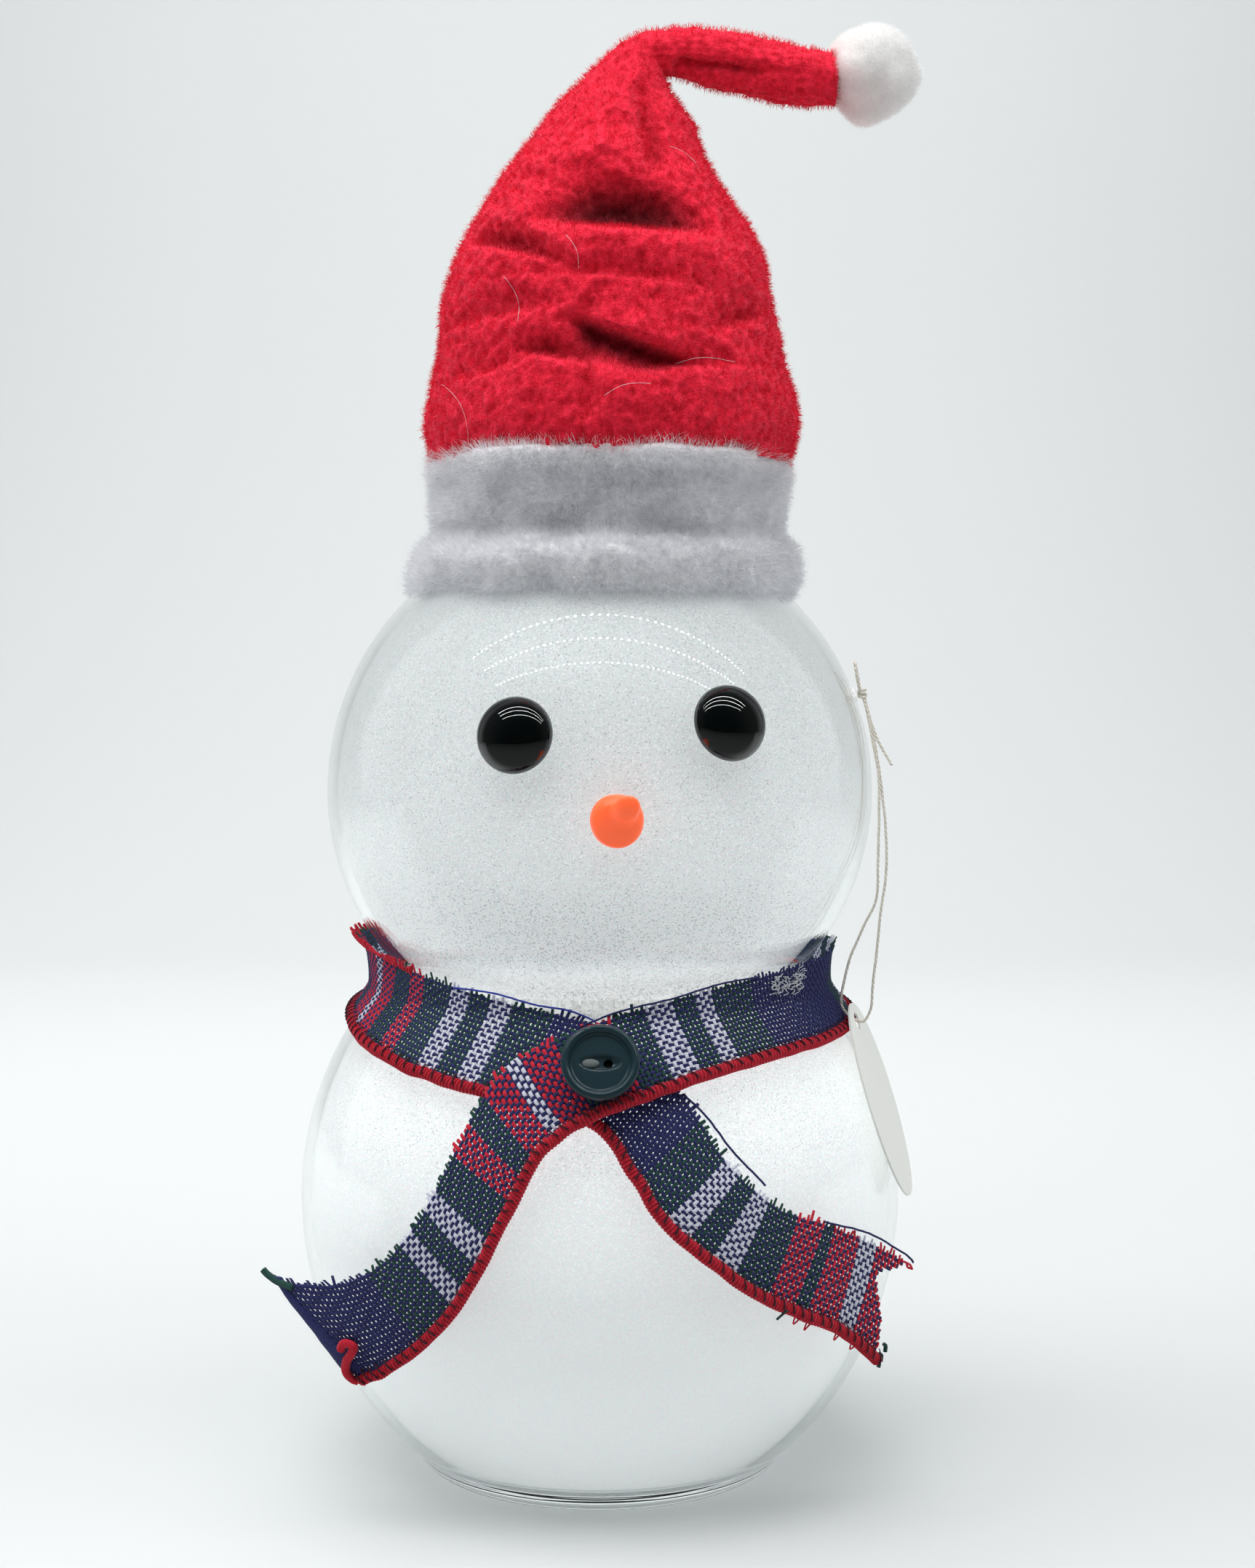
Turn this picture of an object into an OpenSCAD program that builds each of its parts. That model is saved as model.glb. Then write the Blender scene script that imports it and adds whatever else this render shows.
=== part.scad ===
// Glass bowl snowman: two clear glitter-lined bowls glued one on the other,
// with a fleece hat, a tartan strip scarf, craft eyes, a button and a paper tag.
// Millimetres. The origin is the centre of the foot's underside, +Z is up and
// the figure faces -Y. Azimuths are degrees from the front, positive to +X.

/* [Bowls] */
// Outside diameter of the body bowl
body_d = 154.4; // [150:0.2:158]
// Height of the body bowl's widest ring
body_mid_z = 68.6; // [67:0.1:70]
// Outside diameter of the head bowl
head_d = 139.6; // [136:0.2:142]
// Height of the head bowl's widest ring
head_mid_z = 172.3; // [171.5:0.1:175]
// Glass wall thickness
glass_wall = 2.5; // [2:0.1:3]
// Thickness of the glass under the body bowl
body_floor = 7; // [5:0.5:9]
// Thickness of the glitter coating
glitter_t = 0.4; // [0.2:0.1:0.6]

/* [Face] */
// Diameter of each eye
eye_d = 18; // [14:0.5:20]
// How far an eye stands out
eye_depth = 7; // [5:0.5:9]
// Diameter of the nose's foot
nose_d = 12; // [10:0.5:14]
// Length of the nose
nose_length = 8; // [5:0.5:14]

/* [Scarf] */
// Cloth thickness
cloth_t = 0.8; // [0.6:0.1:1]
// Diameter of the rolled hem
hem_d = 2.4; // [1.8:0.1:2.6]
// Diameter of the button
button_d = 18; // [15:0.5:20]
// Thickness of the button's rim
button_t = 3.6; // [3:0.1:4]

/* [Hat] */
// Outside radius of the hat at its widest
hat_r = 47; // [45:0.5:49]
// Thickness of the fleece
fleece_t = 2.2; // [1.5:0.1:3]
// Radius of the turned-over tip
tip_r = 7; // [6:0.1:7.2]
// Diameter of the pompom
pompom_d = 23; // [19:0.5:25]

/* [Tag] */
// Length of the oval tag
tag_length = 50; // [40:1:52]
// Width of the oval tag
tag_w = 29; // [20:1:34]
// Diameter of the twine
twine_d = 0.7; // [0.6:0.1:0.8]

/* [Hidden] */
$fn = 64;

// Clearance between pieces that rest on each other
gap = 0.05;
arc_steps = 40;

// Semi-axes of the bowls: each is a sphere drawn out a little above and below
body_r = body_d / 2;
body_up = body_r * 1.035;
body_down = body_r * 1.09;
head_r = head_d / 2;
head_up = head_r * 0.996;
head_down = head_r * 0.964;

foot_round = 2.5;
body_mouth_z = 124.8;
head_base_z = 119.3;
head_floor = 4.2;
head_mouth_z = 227.4;
rim_r = 1.35;

eye_left_az = -16.2;
eye_left_el = 13.7;
eye_right_az = 25.6;
eye_right_el = 15.8;
nose_az = 3;
nose_el = -1.8;

// ---- Bowl geometry -------------------------------------------------------

// Radius at height z of a bowl with the given middle, radius and semi-axes
function bowl_r(z, mid, r, up, down) =
    let (s = (z - mid) / (z > mid ? up : down))
    abs(s) < 1 ? r * sqrt(1 - s * s) : 0;

function body_skin(z) = bowl_r(z, body_mid_z, body_r, body_up, body_down);
function head_skin(z) = bowl_r(z, head_mid_z, head_r, head_up, head_down);

// Outside radius of the glass at height z
function glass_r(z) = max(body_skin(z), head_skin(z));

// Points of a bowl's wall, drawn in by inset, from height z0 up to z1
function bowl_arc(mid, r, up, down, inset, z0, z1) =
    let (
        low = down - inset,
        high = up - inset,
        a0 = asin((z0 - mid) / (z0 > mid ? high : low)),
        a1 = asin((z1 - mid) / (z1 > mid ? high : low)))
    [for (i = [0:arc_steps])
        let (a = a0 + (a1 - a0) * i / arc_steps)
        [(r - inset) * cos(a), mid + (a > 0 ? high : low) * sin(a)]];

function reversed(list) = [for (i = [len(list) - 1:-1:0]) list[i]];

function body_arc(inset, z0, z1) =
    bowl_arc(body_mid_z, body_r, body_up, body_down, inset, z0, z1);
function head_arc(inset, z0, z1) =
    bowl_arc(head_mid_z, head_r, head_up, head_down, inset, z0, z1);

// Quarter circle between the flat foot and the wall
function foot_corner(r) =
    [for (a = [-90:15:-15]) [r - foot_round + foot_round * cos(a), foot_round + foot_round * sin(a)]];

module body_profile() {
    polygon(concat(
        [[0, 0]],
        foot_corner(body_skin(foot_round)),
        body_arc(0, foot_round, body_mouth_z),
        reversed(body_arc(glass_wall, body_floor, body_mouth_z)),
        [[0, body_floor]]));
    translate([body_skin(body_mouth_z) - glass_wall / 2, body_mouth_z])
        circle(r = rim_r, $fn = 24);
}

module head_profile() {
    polygon(concat(
        [[0, head_base_z]],
        head_arc(0, head_base_z, head_mouth_z),
        reversed(head_arc(glass_wall, head_base_z + head_floor, head_mouth_z)),
        [[0, head_base_z + head_floor]]));
    translate([head_skin(head_mouth_z) - glass_wall / 2, head_mouth_z])
        circle(r = rim_r, $fn = 24);
}

// Thin coating on the inside of a bowl, given its outer and inner wall points
module coating(outer, inner) {
    rotate_extrude($fn = 96)
        polygon(concat(outer, reversed(inner)));
}

module body_bowl() {
    color([0.86, 0.93, 0.92, 0.35])
        rotate_extrude($fn = 96) body_profile();
}

module head_bowl() {
    color([0.86, 0.93, 0.92, 0.35])
        rotate_extrude($fn = 96) head_profile();
}

module body_glitter() {
    low = body_floor + 1;
    high = head_base_z;
    color("whitesmoke")
        coating(body_arc(glass_wall + gap, low, high),
            body_arc(glass_wall + gap + glitter_t, low, high));
}

module head_glitter() {
    low = head_base_z + head_floor + 1;
    high = head_mouth_z - 4;
    color("whitesmoke")
        coating(head_arc(glass_wall + gap, low, high),
            head_arc(glass_wall + gap + glitter_t, low, high));
}

// Hot-melt glue that fills the wedge between the head's base and the body's mouth
module neck_glue() {
    low = head_base_z + 0.3;
    high = body_mouth_z - 0.3;
    color([0.95, 0.97, 0.96, 0.6])
        rotate_extrude($fn = 96)
            polygon(concat(
                head_arc(-gap, low, high),
                reversed(body_arc(glass_wall + gap, low, high))));
}

// ---- Face -----------------------------------------------------------------

// Stands its children on the head, +Z outwards
module on_head(az, el, lift) {
    translate([0, 0, head_mid_z])
        rotate([0, 0, az])
            rotate([90 - el, 0, 0])
                translate([0, 0, head_r + lift])
                    children();
}

// Glue is 0.7 thick under an eye's flat back
eye_lift = 0.7;

module eye() {
    r = eye_d / 2;
    color([0.03, 0.03, 0.035])
        rotate_extrude()
            polygon(concat(
                [[0, 0], [r - 0.6, 0]],
                [for (a = [0:6:90]) [r * cos(a), 0.8 + (eye_depth - 0.8) * sin(a)]]));
}

module left_eye() {
    on_head(eye_left_az, eye_left_el, eye_lift) eye();
}

module right_eye() {
    on_head(eye_right_az, eye_right_el, eye_lift) eye();
}

// Pad of glue on the head, hollowed to sit on the glass, with a flat top
module glue_pad(r, top) {
    color([0.93, 0.94, 0.9, 0.7])
        rotate_extrude()
            polygon(concat(
                [for (i = [0:8])
                    let (x = r * i / 8)
                    [x, sqrt(head_r * head_r - x * x) - head_r + gap]],
                [[r, top - gap], [0, top - gap]]));
}

module eye_glue() {
    on_head(eye_left_az, eye_left_el, 0) glue_pad(eye_d * 0.36, eye_lift);
    on_head(eye_right_az, eye_right_el, 0) glue_pad(eye_d * 0.36, eye_lift);
}

nose_lift = 0.6;

// Blunt cone whose tip leans up and to the right
module nose() {
    point_r = nose_d * 0.2;
    color([1, 0.36, 0.12])
        on_head(nose_az, nose_el, nose_lift)
            hull() {
                cylinder(r = nose_d / 2 - 0.6, h = 0.5, $fn = 32);
                translate([0, 0, 1.6])
                    cylinder(r = nose_d / 2, h = 0.8, $fn = 32);
                translate([nose_d * 0.14, nose_d * 0.16, nose_length - point_r])
                    sphere(r = point_r, $fn = 32);
            }
}

module nose_glue() {
    on_head(nose_az, nose_el, 0) glue_pad(nose_d * 0.36, nose_lift);
}

// ---- Scarf ----------------------------------------------------------------

// The scarf is one strip. Each row is a place along it, from the right tail's
// end, up to the crossing, round the neck by the left, and down to the left
// tail's end: azimuth, height and lift of the hem, then of the other edge.
// The azimuth runs on past -180, so the strip is one unbroken list.
scarf_rows = [
    [53, 38.5, 9.0, 58, 61.5, 8.5],
    [43.5, 49, 4.5, 48.5, 69.5, 4],
    [34, 55.5, 2.2, 40.5, 75, 2.5],
    [24, 63.5, 1.2, 30.5, 81, 1.8],
    [11, 79, 0.6, 22.5, 91.5, 0.8],
    [5.5, 90.5, 0.2, 17.5, 103, 0.2],
    [0.5, 99.5, 0, 11, 113.5, 0],
    [-8, 103.6, 0, -1, 121.5, 0],
    [-22, 106.5, 0, -17, 125.2, 0],
    [-40, 109.5, 0, -37, 128.9, 0],
    [-60, 113, 0, -57, 132, 0],
    [-83, 116, 0, -79, 136, 1.2],
    [-115, 117.3, 0, -113, 135, 0],
    [-150, 118, 0, -150, 135, 0],
    [-185, 118, 0, -186, 135, 0],
    [-220, 117.3, 0, -222, 135, 0],
    [-256, 116, 0, -258, 134, 0],
    [-291, 114.5, 0, -292, 132.7, 1.2],
    [-320, 113.4, 0.6, -323, 130.4, 0.8],
    [-338, 111, 2, -342, 127.6, 2.2],
    [-352, 107.2, 3, -358, 123.5, 3],
    [-363.5, 102, 3, -373, 117, 3],
    [-370.5, 94.5, 2.6, -381, 108, 2.6],
    [-375, 82.5, 1.2, -386.5, 92, 1.4],
    [-381.5, 65, 1.4, -391.5, 77.5, 2.4],
    [-388, 52.5, 3.2, -397, 67.5, 5],
    [-396, 43, 6.2, -405.5, 61, 8.6],
    [-403, 37.5, 9.4, -416.5, 59.5, 14.5]];

// Rows where the tails part from the collar
right_fold = 5.5;
left_fold = 21;

// Stand-off between the glass and the middle of the cloth
cloth_off = 2;
// Radius at which the cloth bridges the groove between the bowls
neck_wrap_r = 58.6;
// Share of the strip's width that the hem takes
hem_share = 0.085;
// Length of strip left out at each fold, as a share of a row
fold_gap = 0.06;
strip_steps = 3;
strip_points = 5;

function cloth_r(z, lift) = max(glass_r(z) + cloth_off, neck_wrap_r) + lift;

// Point in space of a place given as azimuth, height and lift
function on_cloth(p) = [cloth_r(p[1], p[2]) * sin(p[0]), -cloth_r(p[1], p[2]) * cos(p[0]), p[1]];

// Catmull-Rom value through four rows
function through(a, b, c, d, t) =
    b + t / 2 * ((c - a) + t * ((2 * a - 5 * b + 4 * c - d) + t * (3 * (b - c) + d - a)));

// Row at the fractional index s
function scarf_row(s) =
    let (
        last = len(scarf_rows) - 1,
        i = min(max(floor(s), 0), last - 1),
        a = scarf_rows[max(i - 1, 0)],
        d = scarf_rows[min(i + 2, last)])
    through(a, scarf_rows[i], scarf_rows[i + 1], d, s - i);

// Place across the strip at row s: share 0 is the hem, 1 the other edge
function scarf_place(s, share) =
    let (row = scarf_row(s))
    [for (k = [0:2]) row[k] + (row[k + 3] - row[k]) * share];

// Closed solid from two facing grids of points with the same rows and columns
module sheet(outer, inner) {
    n = len(outer);
    m = len(outer[0]);
    total = n * m;
    points = concat([for (row = outer) each row], [for (row = inner) each row]);
    faces = [
        for (i = [0:n - 2], j = [0:m - 2])
            let (a = i * m + j, b = a + 1, c = a + m, d = c + 1, e = total)
            each [[a, c, b], [b, c, d], [e + a, e + b, e + c], [e + b, e + d, e + c]],
        for (i = [0:n - 2], j = [0, m - 1])
            let (a = i * m + j, c = a + m, e = total)
            each j == 0 ? [[a, e + a, c], [c, e + a, e + c]] : [[a, c, e + a], [c, e + c, e + a]],
        for (j = [0:m - 2], i = [0, n - 1])
            let (a = i * m + j, b = a + 1, e = total)
            each i == 0 ? [[a, b, e + a], [b, e + b, e + a]] : [[a, e + a, b], [b, e + a, e + b]]];
    polyhedron(points, faces, convexity = 8);
}

// Cloth between rows s0 and s1, clear of the hem
module cloth(s0, s1) {
    n = round((s1 - s0) * strip_steps);
    stations = [for (i = [0:n]) s0 + (s1 - s0) * i / n];
    shares = [for (j = [0:strip_points - 1]) hem_share + (1 - hem_share) * j / (strip_points - 1)];
    color([0.16, 0.16, 0.3])
        sheet(
            [for (s = stations) [for (h = shares) on_cloth(scarf_place(s, h) + [0, 0, cloth_t / 2])]],
            [for (s = stations) [for (h = shares) on_cloth(scarf_place(s, h) - [0, 0, cloth_t / 2])]]);
}

function unit(v) = v / norm(v);

// Solid cord of radius r along points, its sections set square to the path
module cord(path, r, sides = 8) {
    n = len(path);
    rings = [
        for (i = [0:n - 1])
            let (
                dir = unit(path[min(i + 1, n - 1)] - path[max(i - 1, 0)]),
                u = unit(cross(dir, abs(dir[1]) < 0.9 ? [0, 1, 0] : [1, 0, 0])),
                v = cross(dir, u))
            each [for (k = [0:sides - 1]) path[i] + r * (cos(360 * k / sides) * u + sin(360 * k / sides) * v)]];
    faces = [
        [for (k = [0:sides - 1]) k],
        [for (k = [sides - 1:-1:0]) (n - 1) * sides + k],
        for (i = [0:n - 2], k = [0:sides - 1])
            let (a = i * sides + k, b = i * sides + (k + 1) % sides)
            each [[a, a + sides, b], [b, a + sides, b + sides]]];
    polyhedron(rings, faces, convexity = 8);
}

module hem(s0, s1) {
    n = round((s1 - s0) * strip_steps);
    color([0.62, 0.06, 0.12])
        cord([for (i = [0:n]) on_cloth(scarf_place(s0 + (s1 - s0) * i / n, 0))], hem_d / 2);
}

module scarf_collar() {
    cloth(right_fold + fold_gap, left_fold - fold_gap);
}

module collar_hem() {
    hem(right_fold + fold_gap, left_fold - fold_gap);
}

module scarf_right_tail() {
    cloth(0, right_fold - fold_gap);
}

module right_tail_hem() {
    hem(0, right_fold - fold_gap);
}

module scarf_left_tail() {
    cloth(left_fold + fold_gap, len(scarf_rows) - 1);
}

module left_tail_hem() {
    hem(left_fold + fold_gap, len(scarf_rows) - 1);
}

// ---- Button ---------------------------------------------------------------

button_z = 110.5;
button_tilt = 30;
button_off = 7.4;
glue_t = 0.8;

// Stands its children on the crossing of the scarf, +Z outwards
module on_crossing(lift) {
    translate([0, -glass_r(button_z), button_z])
        rotate([90 - button_tilt, 0, 0])
            translate([0, 0, button_off + lift])
                children();
}

// Dished button with a raised rim, an oval hollow and two thread holes
module button() {
    r = button_d / 2;
    rim_w = 2;
    dish_t = button_t * 0.62;
    color([0.07, 0.15, 0.18])
        on_crossing(0)
            difference() {
                rotate_extrude()
                    polygon(concat(
                        [[0, 0], [r - 1.2, 0], [r - 0.2, button_t * 0.35]],
                        [for (a = [0:15:180])
                            [r - rim_w / 2 + rim_w / 2 * cos(a), button_t - rim_w / 2 + rim_w / 2 * sin(a)]],
                        [[r - rim_w - 0.4, dish_t], [0, dish_t]]));
                for (side = [-1, 1])
                    translate([side * r * 0.22, 0, -1])
                        cylinder(r = 1.1, h = button_t + 2, $fn = 24);
            }
}

module button_glue() {
    color([0.93, 0.94, 0.9, 0.7])
        on_crossing(-glue_t - gap)
            cylinder(r = button_d * 0.3, h = glue_t);
}

// ---- Hat ------------------------------------------------------------------

hat_x = 2.5;
trim_top_z = 256.4;
// Rows of the cone, bottom to top: centre across, height, radius as a share of
// hat_r, depth over width, and lean of the section to the right
hat_rows = [
    [2.5, 256.6, 0.965, 1, 0],
    [2.9, 263, 1, 1, 0],
    [3.2, 271, 0.99, 1, 0],
    [2.6, 283, 0.93, 0.99, 0],
    [2.2, 295, 0.885, 0.97, 0],
    [2.5, 306, 0.83, 0.95, 0],
    [2.7, 315, 0.74, 0.93, 0],
    [2.5, 324, 0.62, 0.92, 0],
    [3.8, 334, 0.48, 0.93, 3],
    [5.6, 343, 0.37, 0.95, 5],
    [6.8, 350, 0.25, 1, 8],
    [9.6, 356, 0.165, 1.05, 21],
    [13.2, 358.5, 0.128, 1.1, 50],
    [17.4, 359.3, 0.122, 1.05, 84]];
// Bend of the tip, which is also its hinge
bend = [20, 0, 358.9];
tip_droop = 9;
tip_length = 40;
ball_r = tip_r - 0.2;

// Ring of points of a hat section, drawn in by inset
function hat_ring(row, inset, sides = 32) =
    let (r = row[2] * hat_r - inset)
    [for (k = [0:sides - 1])
        let (x = r * cos(360 * k / sides), y = row[3] * r * sin(360 * k / sides))
        [row[0] + x * cos(row[4]), y, row[1] - x * sin(row[4])]];

// Closed solid through rings of points
module loft(rings) {
    n = len(rings);
    m = len(rings[0]);
    faces = [
        [for (k = [0:m - 1]) k],
        [for (k = [m - 1:-1:0]) (n - 1) * m + k],
        for (i = [0:n - 2], k = [0:m - 1])
            let (a = i * m + k, b = i * m + (k + 1) % m)
            each [[a, a + m, b], [b, a + m, b + m]]];
    polyhedron([for (ring = rings) each ring], faces, convexity = 4);
}

// Row of the hat at the fractional index s
function hat_row(s) =
    let (
        last = len(hat_rows) - 1,
        i = min(max(floor(s), 0), last - 1))
    through(hat_rows[max(i - 1, 0)], hat_rows[i], hat_rows[i + 1], hat_rows[min(i + 2, last)], s - i);

module hat_body(s0, s1, inset) {
    n = round((s1 - s0) * 2);
    loft([for (i = [0:n]) hat_ring(hat_row(s0 + (s1 - s0) * i / n), inset)]);
}

// Fleece cone, hollow up to where it narrows, with a round head at the bend
module hat_cone() {
    top = len(hat_rows) - 1;
    hollow_top = 9;
    color([0.78, 0.03, 0.08])
        difference() {
            union() {
                hat_body(0, top, 0);
                translate(bend) sphere(r = ball_r, $fn = 32);
            }
            hat_body(0.25, hollow_top, fleece_t);
            translate([hat_x, 0, trim_top_z - 1]) cylinder(r = hat_r * 0.9, h = 3);
        }
}

module hat_stuffing() {
    color("ivory")
        hat_body(0.9, 8.6, fleece_t + 1.2);
}

// Plush band with a flared roll below it that rests on the head's shoulder
module hat_trim() {
    inner_r = head_skin(head_mouth_z) - 1.5;
    roll_r = 51;
    low = 221.2;
    crease_z = 235;
    color([0.93, 0.93, 0.95])
        difference() {
            translate([hat_x - 0.7, 0, 0])
                rotate_extrude($fn = 96)
                    polygon([[inner_r, low], [roll_r - 1.5, low], [roll_r, low + 2], [roll_r, low + 8],
                        [roll_r - 1.6, crease_z - 3], [hat_r - 2.4, crease_z], [hat_r - 1.4, crease_z + 4],
                        [hat_r - 1.4, trim_top_z - 2], [hat_r - 3.4, trim_top_z], [inner_r, trim_top_z]]);
            translate([0, 0, head_mid_z])
                sphere(r = head_r + 0.8, $fn = 96);
        }
}

// Frame whose +X runs along the turned-over tip
module along_tip() {
    translate(bend)
        rotate([0, tip_droop, 0])
            children();
}

module hat_tip() {
    color([0.78, 0.03, 0.08])
        difference() {
            along_tip()
                rotate([0, 90, 0])
                    cylinder(r = tip_r, h = tip_length, $fn = 32);
            translate(bend) sphere(r = ball_r + 0.3, $fn = 32);
            along_tip() rotate([0, 90, 0]) cylinder(r = 0.8, h = tip_length + 1, $fn = 24);
        }
}

wire_start = 7;

module tip_wire() {
    color("silver")
        along_tip()
            translate([wire_start, 0, 0])
                rotate([0, 90, 0])
                    cylinder(r = 0.7, h = tip_length - wire_start - 0.2, $fn = 24);
}

// Height of the pompom's centre above the tip's centre line
pompom_rise = 3;

// Cotton ball, flattened where it meets the end of the tip
module pompom() {
    r = pompom_d / 2;
    seat = 0.88;
    start = -asin(seat);
    color("white")
        along_tip()
            translate([tip_length + gap + r * seat, 0, pompom_rise])
                rotate([0, 90, 0])
                    rotate_extrude()
                        polygon(concat(
                            [[0, -r * seat]],
                            [for (i = [0:24])
                                let (a = start + (90 - start) * i / 24)
                                [r * cos(a), r * sin(a)]]));
}

// ---- Tag ------------------------------------------------------------------

twine_az = 80;
tag_az = 73;
knot = [66.9, 197.6];
tag_hole = [67.3, 115.4];
tag_lean = 17.7;
tag_t = 0.5;
hole_r = 1.9;
hole_inset = 4.6;

// The twine hangs from the knot, goes through the tag's hole from behind and
// comes back up: azimuth, distance from the axis, and height
twine_points = [
    [79.5, 67, 197.6], [79.4, 68.3, 194], [78.6, 69.9, 186.5], [77.8, 71.7, 177],
    [76.8, 72, 165.5], [76, 71.9, 156], [75.2, 71.7, 146], [74.6, 68.6, 139],
    [74.2, 65.4, 131], [73.8, 63.7, 124], [73.5, 63.4, 119.6], [73.2, 65, 117],
    [73, 67.3, 115.5], [73, 69.4, 115.6], [73.2, 71, 119], [73.6, 71.3, 124.5],
    [74.4, 72, 132.5], [75.4, 73, 144], [76.3, 74, 153.5], [77, 73.7, 163],
    [77.6, 73, 170], [78.8, 71.3, 181], [79.8, 69.6, 190], [80.5, 67.4, 197.6]];
// Cut end of the twine below the knot
twine_end = [[81.4, 67.6, 197.4], [81.2, 69.2, 191], [80.8, 71.6, 185], [80.4, 74.8, 179.4]];

// Point at azimuth az, distance rho from the axis and height z
function around(az, rho, z) = [rho * sin(az), -rho * cos(az), z];

// Frame at the tag's hole: +Z out of its face, +Y up along it
module at_tag() {
    translate(around(tag_az, tag_hole[0], tag_hole[1]))
        rotate([0, 0, tag_az])
            rotate([90 - tag_lean, 0, 0])
                children();
}

module price_tag() {
    color([0.97, 0.97, 0.94])
        at_tag()
            difference() {
                translate([0, hole_inset - tag_length / 2, 0])
                    linear_extrude(tag_t, center = true)
                        scale([tag_w / tag_length, 1])
                            circle(d = tag_length);
                cylinder(r = hole_r, h = 3, center = true, $fn = 24);
            }
}

// Smooth path through places given as azimuth, distance and height
function smooth_path(places, steps) =
    let (last = len(places) - 1)
    [for (i = [0:last * steps])
        let (
            k = min(floor(i / steps), last - 1),
            p = through(places[max(k - 1, 0)], places[k], places[k + 1], places[min(k + 2, last)],
                i / steps - k))
        around(p[0], p[1], p[2])];

// Small upright loop above the knot
function loop_path() =
    [for (a = [-165:30:165])
        around(twine_az + 1.1 * sin(a), knot[0] - 0.9 - 0.7 * cos(a), knot[1] + 4.4 + 3.6 * cos(a))];

module tag_twine() {
    color([0.82, 0.74, 0.6]) {
        cord(smooth_path(twine_points, 3), twine_d / 2, 6);
        cord(smooth_path(twine_end, 3), twine_d / 2, 6);
        cord(loop_path(), twine_d / 2, 6);
        translate(around(twine_az, knot[0] + 0.3, knot[1])) sphere(r = twine_d * 2, $fn = 24);
    }
}

// Dot of glue that holds the twine's knot to the head
module twine_glue() {
    el = asin((knot[1] - head_mid_z) / head_r);
    on_head(twine_az, el, 0) glue_pad(2.2, 0.5);
}

body_bowl();
head_bowl();
body_glitter();
head_glitter();
neck_glue();
left_eye();
right_eye();
eye_glue();
nose();
nose_glue();
scarf_collar();
collar_hem();
scarf_left_tail();
left_tail_hem();
scarf_right_tail();
right_tail_hem();
button();
button_glue();
hat_trim();
hat_cone();
hat_stuffing();
hat_tip();
tip_wire();
pompom();
twine_glue();
tag_twine();
price_tag();
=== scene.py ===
import math

import bmesh
import bpy
import numpy as np
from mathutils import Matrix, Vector, noise


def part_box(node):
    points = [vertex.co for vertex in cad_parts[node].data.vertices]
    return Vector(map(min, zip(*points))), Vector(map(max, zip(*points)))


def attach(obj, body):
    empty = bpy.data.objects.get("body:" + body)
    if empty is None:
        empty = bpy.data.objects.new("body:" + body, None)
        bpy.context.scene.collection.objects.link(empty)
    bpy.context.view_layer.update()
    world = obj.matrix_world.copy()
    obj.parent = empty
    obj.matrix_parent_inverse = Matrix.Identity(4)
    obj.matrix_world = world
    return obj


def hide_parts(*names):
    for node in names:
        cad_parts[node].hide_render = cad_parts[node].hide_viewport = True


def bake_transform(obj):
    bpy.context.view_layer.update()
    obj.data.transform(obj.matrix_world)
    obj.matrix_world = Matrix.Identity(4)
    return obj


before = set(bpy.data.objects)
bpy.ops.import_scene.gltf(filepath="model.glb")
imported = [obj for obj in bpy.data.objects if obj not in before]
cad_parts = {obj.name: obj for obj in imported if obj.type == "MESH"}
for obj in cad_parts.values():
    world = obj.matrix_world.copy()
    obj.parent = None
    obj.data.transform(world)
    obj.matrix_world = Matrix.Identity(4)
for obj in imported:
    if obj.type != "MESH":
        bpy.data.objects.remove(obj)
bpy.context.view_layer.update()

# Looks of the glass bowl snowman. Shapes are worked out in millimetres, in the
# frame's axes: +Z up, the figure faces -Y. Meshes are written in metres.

MM = 0.001
rng = np.random.default_rng(11)


# ---- Meshes ----------------------------------------------------------------

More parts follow.
